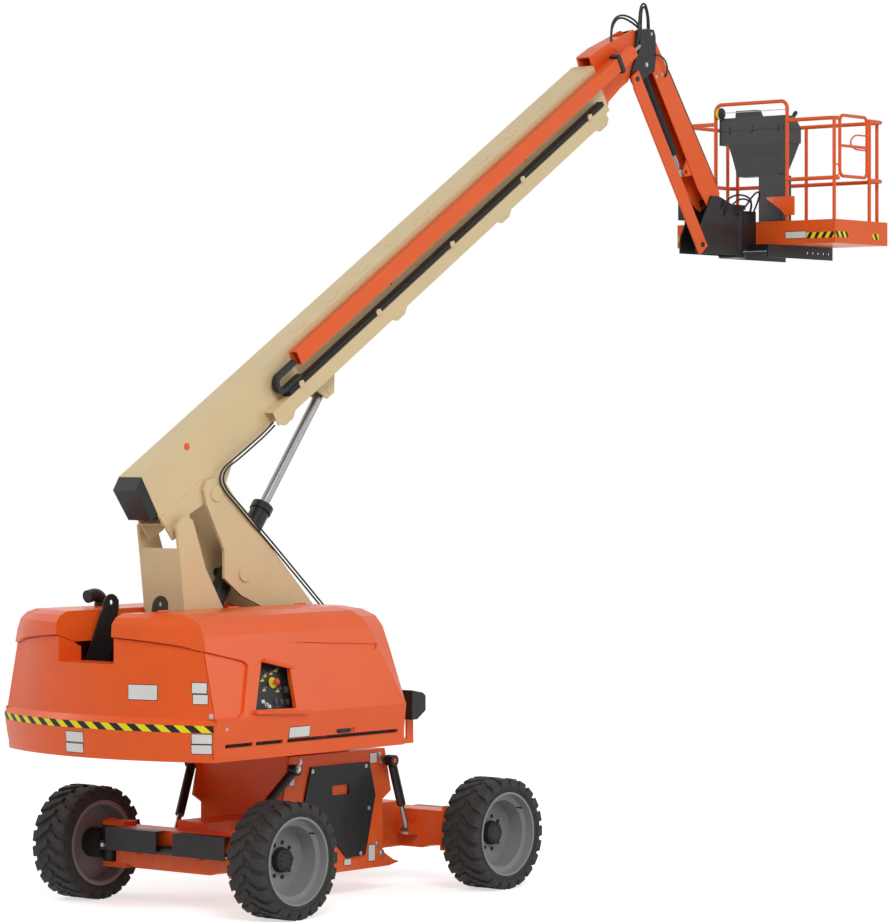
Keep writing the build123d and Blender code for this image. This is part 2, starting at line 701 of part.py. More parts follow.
with BuildPart() as hose_tray:
    plate(boom_plane, boom_half + fit, 98, [(1476, -330), (1476, -322), (6690, -322), (6690, -330)])
    plate(boom_plane, boom_half + 90, 8, [(1476, -449), (1476, -322), (6690, -322), (6690, -449)])
    plate(boom_plane, tube_near + 10, 60, [(1720, -323), (1720, -276.3), (6700, -276.3), (6700, -323)])
save(hose_tray, "hose_tray")

loop_centre = (1718, -192)
with BuildPart() as hose_loop:
    with BuildSketch(boom_plane.offset(tube_near + 12)) as loop:
        with Locations(loop_centre):
            Circle(84)
            Circle(46, mode=Mode.SUBTRACT)
        with Locations((1718 + 100, -192)):
            Rectangle(200, 200, mode=Mode.SUBTRACT)
        with Locations((1830, -127), (1830, -257)):
            Rectangle(226, 38)
    extrude(loop.sketch, amount=56)
save(hose_loop, "hose_loop")

# Head and jib

jib_angle = -55.3
jib_length = 1790
jib_top = (4823, 7407)
jib_lift_top = (4800, 7140)
link_offset = (-243, -404)
jib_cos, jib_sin = cos(radians(jib_angle)), sin(radians(jib_angle))
jib_foot_pin = (jib_top[0] + jib_length * jib_cos, jib_top[1] + jib_length * jib_sin)
link_top = (jib_top[0] + link_offset[0], jib_top[1] + link_offset[1])
link_foot = (jib_foot_pin[0] + link_offset[0], jib_foot_pin[1] + link_offset[1])
jib_half = 78
bracket_inner, bracket_plate = 86, 14
bracket_outline = [
    (4600, 7443), (4769, 7478), (4870, 7475), (4895, 7420), (4900, 7237), (4880, 7090), (4809, 7070),
    (4621, 6950), (4560, 6945), (4520, 6990), (4530, 7060), (4610, 7223), (4590, 7300),
]
with BuildPart() as head_bracket:
    twin(side_plane, bracket_inner, bracket_plate, bracket_outline)
    cross(*head_pin, 28, bracket_inner + 2)
    cross(*jib_lift_top, 22, bracket_inner + 2)
    cross(*jib_top, 28, bracket_inner + 2)
    disc_at(side_plane, bracket_inner + 2, link_top, 24, 46)
save(head_bracket, "head_bracket")

jib_plane = Plane(origin=(jib_top[0], 0, jib_top[1]), x_dir=(jib_cos, 0, jib_sin), z_dir=(0, -1, 0))
jib_wall = 10
with BuildPart() as jib_beam:
    plate(
        jib_plane, -jib_half, 2 * jib_half,
        [(-60, 60), (1760, 134), (1850, 60), (1850, -60), (1780, -100), (1560, -134), (250, -134), (200, -60), (-60, -60)],
    )
    plate(
        jib_plane, -jib_half + jib_wall, 2 * (jib_half - jib_wall),
        [(-70, 46), (1750, 122), (1860, 50), (1860, -150), (-70, -150)],
        Mode.SUBTRACT,
    )
    twin(jib_plane, 50, jib_half - jib_wall - 49, [(1240, -100), (1300, -230), (1360, -230), (1420, -100)])
    with BuildSketch(jib_plane.offset(-200)) as bores:
        Circle(28 + pin_fit)
        with Locations((jib_length, 0)):
            Circle(28 + pin_fit)
        with Locations((1330, -200)):
            Circle(22 + pin_fit)
    extrude(bores.sketch, amount=400, mode=Mode.SUBTRACT)
save(jib_beam, "jib_beam")

link_plane = Plane(origin=(link_top[0], 0, link_top[1]), x_dir=(jib_cos, 0, jib_sin), z_dir=(0, -1, 0))
link_near = bracket_inner + bracket_plate + 6
with BuildPart() as lower_link:
    plate(link_plane, link_near, 20, [(-55, 60), (jib_length + 55, 60), (jib_length + 55, -84), (60, -84), (-55, -50)])
    with BuildSketch(link_plane.offset(link_near - 1)) as bores:
        Circle(24 + pin_fit)
        with Locations((jib_length, 0)):
            Circle(24 + pin_fit)
    extrude(bores.sketch, amount=40, mode=Mode.SUBTRACT)
save(lower_link, "lower_link")

clevis_x = jib_top[0] + 1330 * jib_cos + 200 * jib_sin
clevis_z = jib_top[1] + 1330 * jib_sin - 200 * jib_cos
jib_lift_a = Vector(jib_lift_top[0], 0, jib_lift_top[1])
jib_lift_b = Vector(clevis_x, 0, clevis_z)
jib_lift_unit = (jib_lift_b - jib_lift_a).normalized()
with BuildPart() as jib_barrel:
    rod(tuple(jib_lift_a), tuple(jib_lift_a + jib_lift_unit * 930), 40)
    cross(*jib_lift_top, 42, 40)
    rod(tuple(jib_lift_a + jib_lift_unit * 380), tuple(jib_lift_a + jib_lift_unit * 931), 20 + fit, Mode.SUBTRACT)
    cross(*jib_lift_top, 22 + pin_fit, 100, Mode.SUBTRACT)
save(jib_barrel, "jib_barrel")

with BuildPart() as jib_rod:
    rod(tuple(jib_lift_a + jib_lift_unit * 400), tuple(jib_lift_b - jib_lift_unit * 20), 20)
    cross(clevis_x, clevis_z, 40, 38)
    cross(clevis_x, clevis_z, 22, 60, Mode.SUBTRACT)
save(jib_rod, "jib_rod")

rotator_x = 6300
foot_outline = [
    (jib_foot_pin[0] - 60, jib_foot_pin[1] + 60), (jib_foot_pin[0] + 60, jib_foot_pin[1] + 60),
    (rotator_x - 92, 5900), (rotator_x - 92, 5450), (link_foot[0] - 60, 5450), (link_foot[0] - 60, link_foot[1] + 60),
]
with BuildPart() as jib_foot:
    twin(side_plane, bracket_inner, bracket_plate, foot_outline)
    for x, z, radius in ((*jib_foot_pin, 28),):
        cross(x, z, radius, bracket_inner + 2)
    disc_at(side_plane, bracket_inner + 2, link_foot, 24, 46)
    block(rotator_x - 130, rotator_x - 92, -100, 100, 5450, 5920)
    for low in (5430, 5890):
        block(rotator_x - 130, rotator_x, -100, 100, low, low + 40)
        disc_at(Plane.XY, low, (rotator_x, 0), 100, 40)
save(jib_foot, "jib_foot")

# Platform

platform_back, platform_front = 6630, 7530
platform_half = 915
platform_floor_z = 5563
toe_height = 224
top_rail_z = 6744
rail_radius = 19
bar_holes = (7118, 7208, 7298, 7388, 7478)
bar_hole_z = 5500
bar_hole_radius = 14
with BuildPart() as platform_mount:
    disc_at(Plane.XY, 5470.3, (rotator_x, 0), 80, 419.4)
    block(rotator_x, 6560, -60, 60, 5500, 5880)
    block(6440, 7540, -280, -268, 5440, 5562.7)
    for centre_x in bar_holes:
        disc_at(side_plane, 260, (centre_x, bar_hole_z), bar_hole_radius, 30, Mode.SUBTRACT)
    block(6440, 7540, 268, 280, 5440, 5562.7)
    block(6440, 6600, -280, 280, 5500, 5562.7)
save(platform_mount, "platform_mount")

with BuildPart() as platform_floor:
    block(platform_back, platform_front, -platform_half, platform_half, platform_floor_z, platform_floor_z + 30)
    for x0, x1, y0, y1 in (
        (platform_back, platform_front, -platform_half, -platform_half + 6),
        (platform_back, platform_front, platform_half - 6, platform_half),
        (platform_back, platform_back + 6, -platform_half, platform_half),
        (platform_front - 6, platform_front, -platform_half, platform_half),
    ):
        block(x0, x1, y0, y1, platform_floor_z, platform_floor_z + toe_height)
save(platform_floor, "platform_floor")

inset = 30
post_low = platform_floor_z + 30 + fit
back, front = platform_back + inset, platform_front - inset
near, far = -platform_half + inset, platform_half - inset
gate_post = 7260
posts = [(back, far - 70), (back, 480), (back, -350), (back, near), (back + 70, far), (front - 70, far), (front, far - 70), (front, 0), (front, near + 70), (gate_post, near)]
mid_rail_z = 6180
with BuildPart() as platform_rails:
    for x, y in posts:
        rod((x, y, post_low), (x, y, top_rail_z), rail_radius - 2)
    for z in (mid_rail_z, top_rail_z):
        bent([(back, 470, z), (back, far, z), (front, far, z), (front, near, z), (gate_post - 10, near, z)], 70, rail_radius)
        bent([(back, -340, z), (back, near, z), (back + 70.5, near, z)], 70, rail_radius)
    bent([(back, 480, mid_rail_z + 1), (back, 480, 6930), (back, -350, 6930), (back, -350, mid_rail_z + 1)], 70, rail_radius - 1)
save(platform_rails, "platform_rails")

gate_back, gate_front = back + 95, gate_post - 40
gate_low, gate_high = mid_rail_z + 20, top_rail_z + 30
gate_ring = [
    (gate_back + 200, gate_low), (gate_front, gate_low), (gate_front, gate_high), (gate_back, gate_high),
    (gate_back, gate_low), (gate_back + 201, gate_low),
]
with BuildPart() as gate:
    bent([(x, near, z) for x, z in gate_ring], 60, 16)
    rod((gate_back, near, (gate_low + gate_high) / 2), (gate_front, near, (gate_low + gate_high) / 2), 14)
    for z in (gate_low + 120, gate_high - 160):
        rod((gate_front, near, z), (gate_post - rail_radius + 2 - fit, near, z), 12)
save(gate, "gate")

console_side = [
    (back + 60, 6231), (back + 200, 6231), (back + 262, 6420), (back + 300, 6560), (back + 300, 6690),
    (back + 190, 6800), (back + 25, 6800), (back + 25, 6540), (back + 45, 6420),
]
with BuildPart() as console:
    plate(side_plane, -455, 760, console_side)
    for low_y, high_y, low_z, high_z in ((-1000, -290, 6000, 6540), (350, 1000, 6000, 6540)):
        block(back, back + 400, low_y, high_y, low_z, high_z, Mode.SUBTRACT)
    for side, centre in ((1, 30), (-1, 30)):
        near_y = centre + side * 320
        plate(Plane.YZ, back, 400, [(near_y, 6541), (near_y, 6200), (centre + side * 230, 6200)], Mode.SUBTRACT)
    plate(side_plane, -280, 250, [(back + 40, 6798), (back + 50, 6868), (back + 110, 6868), (back + 160, 6798)])
    block(back + 60, back + 200, -260, 20, platform_floor_z + 30 + fit, 6232)
save(console, "console")

with BuildPart() as stop_wire:
    rod((back, 480 - rail_radius + 1 - fit, 6850), (back, -350 + rail_radius - 1 + fit, 6850), 4)
save(stop_wire, "stop_wire")
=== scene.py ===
"""Looks for the telescopic boom lift: its finishes, tyres, trim, hoses and studio."""

import json
import math

import bmesh
import bpy
from bpy.props import FloatProperty, FloatVectorProperty, IntProperty, PointerProperty
from mathutils import Matrix, Vector
from mathutils.bvhtree import BVHTree


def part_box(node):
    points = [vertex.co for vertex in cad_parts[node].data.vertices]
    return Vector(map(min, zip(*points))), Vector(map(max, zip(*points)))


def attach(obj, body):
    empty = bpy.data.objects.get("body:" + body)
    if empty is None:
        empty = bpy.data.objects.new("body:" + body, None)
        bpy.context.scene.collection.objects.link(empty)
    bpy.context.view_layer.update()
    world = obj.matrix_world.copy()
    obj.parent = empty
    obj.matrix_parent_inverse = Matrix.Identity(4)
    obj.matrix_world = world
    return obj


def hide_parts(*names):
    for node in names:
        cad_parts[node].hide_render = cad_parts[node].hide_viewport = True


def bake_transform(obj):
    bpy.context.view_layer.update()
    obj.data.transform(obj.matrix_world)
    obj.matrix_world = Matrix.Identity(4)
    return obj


bl_info = {
    "name": "Boom Lift Looks",
    "version": (1, 0, 0),
    "blender": (4, 5, 0),
    "location": "View3D > Sidebar > Boom Lift",
    "description": "Finishes and small parts for a telescopic boom lift",
    "category": "Object",
}

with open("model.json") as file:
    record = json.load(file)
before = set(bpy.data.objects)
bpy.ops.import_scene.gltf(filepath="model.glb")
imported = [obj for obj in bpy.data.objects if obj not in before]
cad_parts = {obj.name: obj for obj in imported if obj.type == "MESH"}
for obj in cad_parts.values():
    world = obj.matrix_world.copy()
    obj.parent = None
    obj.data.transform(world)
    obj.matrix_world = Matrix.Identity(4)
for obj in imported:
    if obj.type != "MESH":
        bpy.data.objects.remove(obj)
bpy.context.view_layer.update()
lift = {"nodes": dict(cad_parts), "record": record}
nodes = lift["nodes"]

CORNERS = ("front_left", "front_right", "rear_left", "rear_right")
IMAGE_WIDTH = 893
IMAGE_HEIGHT = 922
SENSOR_WIDTH = 36
BOOM_FOOT = Vector((-1.900, 0, 3.435))
BOOM_ANGLE = math.radians(31.98)
JIB_TOP = Vector((4.823, 0, 7.407))
JIB_ANGLE = math.radians(-55.3)
BOOM_SIDE = 0.1545  # from the middle plane out to the boom's side
TRAY_FLOOR = -0.321  # under the boom's top edge
TYRE_RADIUS = 0.46
TAIL_RADIUS = 2.44
GATE_LINE = -0.885  # the gate's plane, on Y
TAIL_SLANT = -1.2  # the stripes' lean
BOARD_SLANT = 0.6
DUST = (0.34, 0.27, 0.20)
HOSE_BLACK = (0.014, 0.014, 0.015)


# Settings that a user would change

class PaintSettings(bpy.types.PropertyGroup):
    """Colours of the painted and moulded pieces."""

    orange: FloatVectorProperty(
        name="Orange", description="Paint of the hoods, jib and platform",
        subtype="COLOR", size=3, default=(0.86, 0.112, 0.012), min=0, max=1,
    )
    cream: FloatVectorProperty(
        name="Cream", description="Paint of the main boom and its links",
        subtype="COLOR", size=3, default=(0.74, 0.58, 0.33), min=0, max=1,
    )
    black: FloatVectorProperty(
        name="Black", description="Paint of the covers, lugs and barrels",
        subtype="COLOR", size=3, default=(0.012, 0.012, 0.013), min=0, max=1,
    )
    rim: FloatVectorProperty(
        name="Rim grey", description="Paint of the wheel rims",
        subtype="COLOR", size=3, default=(0.25, 0.25, 0.255), min=0, max=1,
    )
    console: FloatVectorProperty(
        name="Console grey", description="Moulding of the platform console",
        subtype="COLOR", size=3, default=(0.062, 0.062, 0.064), min=0, max=1,
    )
    stripe_pitch: FloatProperty(
        name="Stripe pitch", description="Width of one yellow and one black stripe",
        default=0.165, min=0.02, unit="LENGTH",
    )


class TyreSettings(bpy.types.PropertyGroup):
    """Sizes of the tyres' tread."""

    lugs: IntProperty(name="Lugs", description="Tread lugs on each shoulder", default=22, min=8)
    lug_height: FloatProperty(
        name="Lug height", description="Height of a tread lug above the carcass",
        default=0.021, min=0.005, unit="LENGTH",
    )


class StudioSettings(bpy.types.PropertyGroup):
    """The lamps and the camera."""

    key_power: FloatProperty(name="Key lamp", description="Power of the key lamp", default=2500, unit="POWER")
    fill: FloatProperty(name="Fill", description="Strength of the even sky light", default=0.5, min=0)
    floor_glow: FloatProperty(
        name="Floor glow", description="How much the camera's view whitens the floor", default=0.62, min=0,
    )
    camera_place: FloatVectorProperty(
        name="Camera place", description="Where the camera stands",
        subtype="TRANSLATION", size=3, default=(-23.344, -20.893, 3.818),
    )
    camera_turn: FloatProperty(
        name="Camera turn", description="Compass turn of the camera",
        subtype="ANGLE", default=math.radians(-50.493),
    )
    focal_pixels: FloatProperty(
        name="Focal length", description="Focal length in pixels of the photograph", default=3810.25,
    )
    horizon_pixel: FloatProperty(
        name="Horizon", description="Row of the photograph at the camera's height", default=428.1,
    )


# Shader maths

class Wire:
    """A node's output, or a number, that Python operators join into Math nodes."""

    def __init__(self, mat, socket):
        self.mat = mat
        self.socket = socket

    def _do(self, operation, *others, swap=False):
        values = [self, *others]
        if swap:
            values.reverse()
        return self.mat.node("ShaderNodeMath", {"operation": operation}, *values)

    def __add__(self, other):
        return self._do("ADD", other)

    __radd__ = __add__

    def __sub__(self, other):
        return self._do("SUBTRACT", other)

    def __rsub__(self, other):
        return self._do("SUBTRACT", other, swap=True)

    def __mul__(self, other):
        return self._do("MULTIPLY", other)

    __rmul__ = __mul__

    def __truediv__(self, other):
        return self._do("DIVIDE", other)

    def __gt__(self, other):
        return self._do("GREATER_THAN", other)

    def part(self):
        """What is left of this value above a whole number."""
        return self._do("FRACT")

    def turn(self, other):
        """The angle whose tangent is this value over another."""
        return self._do("ARCTAN2", other)

    def within(self, low, high):
        """A smooth step from 0 to 1 between two limits."""
        return self.mat.node(
            "ShaderNodeMapRange", {"interpolation_type": "SMOOTHSTEP", "clamp": True},
            self, low, high, 0.0, 1.0,
        )


class Finish:
    """A material made in code, with one principled shader."""

    def __init__(self, name, **sockets):
        self.material = bpy.data.materials.new(name)
        self.material.use_nodes = True
        self.tree = self.material.node_tree
        self.shader = self.tree.nodes["Principled BSDF"]
        for key, value in sockets.items():
            self.shader.inputs[key.replace("_", " ").title().replace("Ior", "IOR")].default_value = value
        self.place = Wire(self, self.tree.nodes.new("ShaderNodeTexCoord").outputs["Object"])

    def node(self, kind, settings, *values, out=0, **named):
        """Adds one node: its settings first, then the values or links of its sockets."""
        made = self.tree.nodes.new(kind)
        for key, value in settings.items():
            setattr(made, key, value)
        for number, value in enumerate(values):
            self._fill(made.inputs[number], value)
        for key, value in named.items():
            self._fill(made.inputs[key.replace("_", " ")], value)
        return Wire(self, made.outputs[out])

    def _fill(self, socket, value):
        if isinstance(value, Wire):
            self.tree.links.new(value.socket, socket)
        elif value is not None:
            socket.default_value = value

    def axis(self, letter):
        """One of the piece's own coordinates."""
        return self.node("ShaderNodeSeparateXYZ", {}, self.place, out="XYZ".index(letter))

    def noise(self, scale, detail=3.0, roughness=0.55):
        """Cloudy noise from 0 to 1, with its scale in lumps for each metre."""
        return self.node(
            "ShaderNodeTexNoise", {}, Vector=self.place, Scale=scale, Detail=detail, Roughness=roughness,
        )

    def mix(self, amount, first, second):
        """A colour between two colours."""
        made = self.tree.nodes.new("ShaderNodeMix")
        made.data_type = "RGBA"
        self._fill(made.inputs[0], amount)
        self._fill(made.inputs[6], as_colour(first))
        self._fill(made.inputs[7], as_colour(second))
        return Wire(self, made.outputs[2])

    def feed(self, socket, value):
        """Links a value or colour to the shader."""
        self._fill(self.shader.inputs[socket], value)

    def bump(self, height, depth):
        """Raises the surface by a height map, in metres."""
        self.feed("Normal", self.node("ShaderNodeBump", {}, Distance=depth, Height=height))


def as_colour(value):
    """Three numbers as the four that a colour socket takes."""
    if isinstance(value, Wire) or len(value) == 4:
        return value
    return (*value, 1.0)


def darker(colour, share):
    """A colour multiplied by a share."""
    return tuple(c * share for c in colour)


# Finishes

def paint(name, colour, roughness=0.34, dust=0.10, grain=0.00025, soil=0.3, hoses=None):
    """Sprayed machine paint: faint clouds, orange peel, a little dust low down, and black where hoses lie."""
    made = Finish(name, roughness=roughness, specular_ior_level=0.22, coat_weight=0.12, coat_roughness=0.12)
    clouds = made.noise(1.7, 4.0)
    patches = made.noise(14.0, 3.0)
    low = 1 - made.axis("Z").within(0.2, 1.6)
    base = made.mix(clouds.within(0.35, 0.75) * 0.5, colour, darker(colour, 0.90))
    dusty = made.mix(patches.within(0.35, 0.95) * (low * soil + dust), base, DUST)
    made.feed("Base Color", made.mix(hoses(made), dusty, HOSE_BLACK) if hoses else dusty)
    made.feed("Roughness", patches * 0.14 + (roughness - 0.05) + low * 0.08)
    made.bump(made.noise(420.0, 2.0), grain)
    return made.material


def hose_block(made):
    """1 on the block in the tray that stands for its bundle of hoses."""
    up, along = made.axis("Z") - BOOM_FOOT.z, made.axis("X") - BOOM_FOOT.x
    high = up * math.cos(BOOM_ANGLE) - along * math.sin(BOOM_ANGLE)
    return (high > TRAY_FLOOR) * (0 - made.axis("Y") > BOOM_SIDE)


def cast_paint(name, colour):
    """Thick paint on cast iron, with the casting's soft waves."""
    made = Finish(name, roughness=0.36, specular_ior_level=0.22, coat_weight=0.12, coat_roughness=0.15)
    clouds = made.noise(2.3, 3.0)
    made.feed("Base Color", made.mix(clouds.within(0.3, 0.8) * 0.5, colour, darker(colour, 0.88)))
    made.feed("Roughness", made.noise(9.0) * 0.16 + 0.28)
    made.bump(made.noise(26.0, 4.0) * 0.8 + made.noise(180.0) * 0.2, 0.0022)
    return made.material


def moulding(name, colour, roughness=0.42, grain=0.0003):
    """Moulded plastic with a fine leather grain."""
    made = Finish(name, roughness=roughness, specular_ior_level=0.25)
    clouds = made.noise(3.0)
    made.feed("Base Color", made.mix(clouds.within(0.3, 0.7) * 0.5, colour, darker(colour, 0.86)))
    made.feed("Roughness", made.noise(40.0) * 0.16 + (roughness - 0.06))
    made.bump(made.noise(620.0, 2.0), grain)
    return made.material


def rubber(name, colour, dirt=0.25):
    """Tyre rubber: deep grey, scuffed, with fine dirt in its hollows."""
    made = Finish(name, roughness=0.78, specular_ior_level=0.25)
    scuffs = made.noise(22.0, 5.0, 0.7)
    fine = made.noise(150.0, 3.0)
    base = made.mix(scuffs.within(0.45, 0.75) * dirt, colour, (0.16, 0.145, 0.125))
    made.feed("Base Color", base)
    made.feed("Roughness", fine * 0.25 + 0.62)
    made.bump(fine * 0.6 + scuffs * 0.4, 0.0012)
    return made.material


def bright_rod(name, colour, roughness=0.16):
    """Hard chrome on a cylinder's rod, with fine turning marks."""
    made = Finish(name, metallic=1.0, roughness=roughness)
    made.feed("Base Color", made.mix(made.noise(6.0), colour, darker(colour, 0.82)))
    made.feed("Roughness", made.noise(90.0) * 0.14 + roughness)
    made.bump(made.noise(900.0, 1.0), 0.00004)
    return made.material


def hose(name):
    """Black hose cover with a light wrap pattern."""
    made = Finish(name, roughness=0.5, specular_ior_level=0.3)
    wrap = made.noise(260.0, 2.0)
    made.feed("Base Color", made.mix(made.noise(12.0), (0.010, 0.010, 0.011), (0.028, 0.027, 0.026)))
    made.feed("Roughness", wrap * 0.2 + 0.42)
    made.bump(wrap, 0.0005)
    return made.material


def stripes(name, along, pitch, slant):
    """Yellow and black slanted stripes. The path along the band comes from a function of the finish."""
    made = Finish(name, roughness=0.45, specular_ior_level=0.2)
    run = along(made) / pitch + made.axis("Z") * slant / pitch
    black = (run.part() - 0.5).within(-0.006, 0.006)
    wear = made.noise(60.0, 3.0).within(0.3, 0.8) * 0.3
    yellow = made.mix(wear, (0.90, 0.80, 0.015), (0.72, 0.62, 0.03))
    made.feed("Base Color", made.mix(black, yellow, (0.012, 0.012, 0.012)))
    made.bump(made.noise(300.0), 0.0001)
    return made.material


def round_the_tail(made):
    """The path round the counterweight's tail, in metres."""
    return made.axis("Y").turn(0 - made.axis("X")) * TAIL_RADIUS


def along_the_boards(made):
    """The path along a toe board, whichever way it runs."""
    return made.axis("X") + made.axis("Y")


def make_finishes():
    """Every finish, by the name that the pieces use."""
    scheme = bpy.context.scene.lift_paint
    orange, cream = tuple(scheme.orange), tuple(scheme.cream)
    black, grey = tuple(scheme.black), tuple(scheme.console)
    return {
        "orange": paint("orange paint", orange),
        "orange_iron": cast_paint("orange counterweight", orange),
        "orange_hood": paint("orange hood", orange, 0.30, 0.04),
        "cream": paint("cream paint", cream, 0.42, 0.03),
        "tray_paint": paint("tray paint", cream, 0.42, 0.03, hoses=hose_block),
        "black": paint("black paint", black, 0.38, 0.015, soil=0.04),
        "dark_steel": paint("dark steel", (0.020, 0.020, 0.021), 0.5, 0.02, soil=0.06),
        "rim_grey": paint("rim grey", tuple(scheme.rim), 0.34, 0.04, soil=0.12),
        "chrome_rod": bright_rod("chrome rod", (0.34, 0.34, 0.35), 0.26),
        "hose_black": hose("hose"),
        "steel": bright_rod("zinc", (0.5, 0.5, 0.49), 0.32),
        "grey_box": moulding("console moulding", grey),
        "black_plastic": moulding("panel moulding", (0.014, 0.014, 0.015), 0.36),
        "tyre_rubber": rubber("tyre rubber", (0.042, 0.041, 0.040), 0.12),
        "plate_white": moulding("blank plate", (0.78, 0.77, 0.74), 0.35, 0.00005),
        "yellow_plate": moulding("yellow plate", (0.80, 0.62, 0.03), 0.38, 0.00005),
        "red_knob": moulding("red knob", (0.62, 0.035, 0.012), 0.25, 0.00005),
        "stripes_tail": stripes("tail stripes", round_the_tail, scheme.stripe_pitch, TAIL_SLANT),
        "stripes_flat": stripes("platform stripes", along_the_boards, scheme.stripe_pitch * 0.5, BOARD_SLANT),
    }


class LIFT_OT_finishes(bpy.types.Operator):
    """Give every construction piece its finish"""

    bl_idname = "lift.finishes"
    bl_label = "Finishes"

    def execute(self, context):
        slots = {entry["node"]: entry["material_slot"] for entry in lift["record"]["subparts"]}
        slots.update(head_bracket="black", hose_tray="tray_paint")
        for name, made in make_finishes().items():
            made["finish"] = name
        for name, piece in nodes.items():
            cover(piece, slots[name])
        return {"FINISHED"}


def finish(name):
    """A finish that the finishes operator made."""
    return next(m for m in bpy.data.materials if m.get("finish") == name)


def cover(piece, name):
    """Gives a whole piece one finish."""
    piece.data.materials.clear()
    piece.data.materials.append(finish(name))


# Stage

class LIFT_OT_stage(bpy.types.Operator):
    """Set up the floor, lamps, sky and camera"""

    bl_idname = "lift.stage"
    bl_label = "Stage"

    def execute(self, context):
        studio = context.scene.lift_studio
        self.floor()
        self.sky(studio.fill)
        lamp("key", (-13, -16, 17), (0, 0, 3), studio.key_power, 9)
        lamp("side", (16, -20, 12), (1, 0, 3), studio.key_power * 0.35, 10)
        lamp("rim", (-8, 18, 12), (0, 0, 3), studio.key_power * 0.35, 8)
        self.camera(studio)
        context.scene.view_settings.view_transform = "Standard"
        return {"FINISHED"}

    def floor(self):
        mesh = bpy.data.meshes.new("floor")
        size = 60
        corners = [(-size, -size, 0), (size, -size, 0), (size, size, 0), (-size, size, 0)]
        mesh.from_pydata(corners, [], [(0, 1, 2, 3)])
        ground = bpy.data.objects.new("floor", mesh)
        bpy.context.collection.objects.link(ground)
        made = Finish("pale floor", roughness=0.9, base_color=(0.82, 0.82, 0.82, 1))
        path = made.tree.nodes.new("ShaderNodeLightPath").outputs
        shown = made.node(
            "ShaderNodeMath", {"operation": "MAXIMUM"},
            Wire(made, path["Is Camera Ray"]), Wire(made, path["Is Glossy Ray"]),
        )
        shine = shown * bpy.context.scene.lift_studio.floor_glow
        glow = made.node("ShaderNodeEmission", {}, Strength=shine)
        both = made.node("ShaderNodeAddShader", {}, Wire(made, made.shader.outputs[0]), glow)
        made.tree.links.new(both.socket, made.tree.nodes["Material Output"].inputs["Surface"])
        mesh.materials.append(made.material)

    def sky(self, strength):
        world = bpy.data.worlds.new("sky")
        bpy.context.scene.world = world
        world.use_nodes = True
        tree = world.node_tree
        tree.nodes.clear()
        lights = tree.nodes.new("ShaderNodeBackground")
        lights.inputs["Strength"].default_value = strength
        seen = tree.nodes.new("ShaderNodeBackground")
        seen.inputs["Color"].default_value = (1, 1, 1, 1)
        path = tree.nodes.new("ShaderNodeLightPath")
        both = tree.nodes.new("ShaderNodeMath")
        both.operation = "MAXIMUM"
        mix = tree.nodes.new("ShaderNodeMixShader")
        out = tree.nodes.new("ShaderNodeOutputWorld")
        tree.links.new(path.outputs["Is Camera Ray"], both.inputs[0])
        tree.links.new(path.outputs["Is Glossy Ray"], both.inputs[1])
        tree.links.new(both.outputs[0], mix.inputs[0])
        tree.links.new(lights.outputs[0], mix.inputs[1])
        tree.links.new(seen.outputs[0], mix.inputs[2])
        tree.links.new(mix.outputs[0], out.inputs[0])

    def camera(self, studio):
        data = bpy.data.cameras.new("camera")
        data.sensor_width = SENSOR_WIDTH
        data.lens = studio.focal_pixels * SENSOR_WIDTH / IMAGE_HEIGHT
        data.shift_y = (studio.horizon_pixel - IMAGE_HEIGHT / 2) / IMAGE_HEIGHT
        data.clip_end = 200
        eye = bpy.data.objects.new("camera", data)
        bpy.context.collection.objects.link(eye)
        eye.location = studio.camera_place
        eye.rotation_euler = (math.radians(90), 0, studio.camera_turn)
        bpy.context.scene.camera = eye


def lamp(name, place, target, power, size):
    """A soft square lamp that looks at a point."""
    data = bpy.data.lights.new(name, "AREA")
    data.energy = power
    data.size = size
    made = bpy.data.objects.new(name, data)
    bpy.context.collection.objects.link(made)
    made.location = place
    made.rotation_euler = (Vector(target) - Vector(place)).to_track_quat("-Z", "Y").to_euler()


# Places seen from the camera

def sight(px, py):
    """The eye and the direction of the line of sight through a point of the photograph."""
    studio = bpy.context.scene.lift_studio
    across = Vector((math.cos(studio.camera_turn), math.sin(studio.camera_turn), 0))
    ahead = Vector((-across.y, across.x, 0))
    right = (px - IMAGE_WIDTH / 2) / studio.focal_pixels
    rise = (studio.horizon_pixel - py) / studio.focal_pixels
    return Vector(studio.camera_place), (ahead + across * right + Vector((0, 0, rise))).normalized()


skins = {}


def skin(node):
    """The surface of a construction piece, for seating small parts on it."""
    if node not in skins:
        mesh = nodes[node].data
        skins[node] = BVHTree.FromPolygons(
            [vertex.co for vertex in mesh.vertices], [face.vertices for face in mesh.polygons],
        )
    return skins[node]


def seat(node, start, direction):
    """Where a line meets a construction piece, and the surface's outward direction there."""
    direction = Vector(direction).normalized()
    place, normal, _, _ = skin(node).ray_cast(Vector(start), direction)
    if place is None:
        raise RuntimeError(f"no surface of {node} lies that way")
    return place, -normal if normal.dot(direction) > 0 else normal


def seen(node, px, py):
    """The place of a construction piece that shows at a point of the photograph."""
    return seat(node, *sight(px, py))


# Forms

def frame_at(place, normal, up=(0, 0, 1)):
    """A frame whose third direction is a normal and whose second lies nearest to up."""
    third = Vector(normal).normalized()
    first = Vector(up).cross(third)
    if first.length < 0.05:
        first = Vector((0, 1, 0)).cross(third)
    first.normalize()
    turn = Matrix((first, third.cross(first), third)).transposed().to_4x4()
    return Matrix.Translation(Vector(place)) @ turn


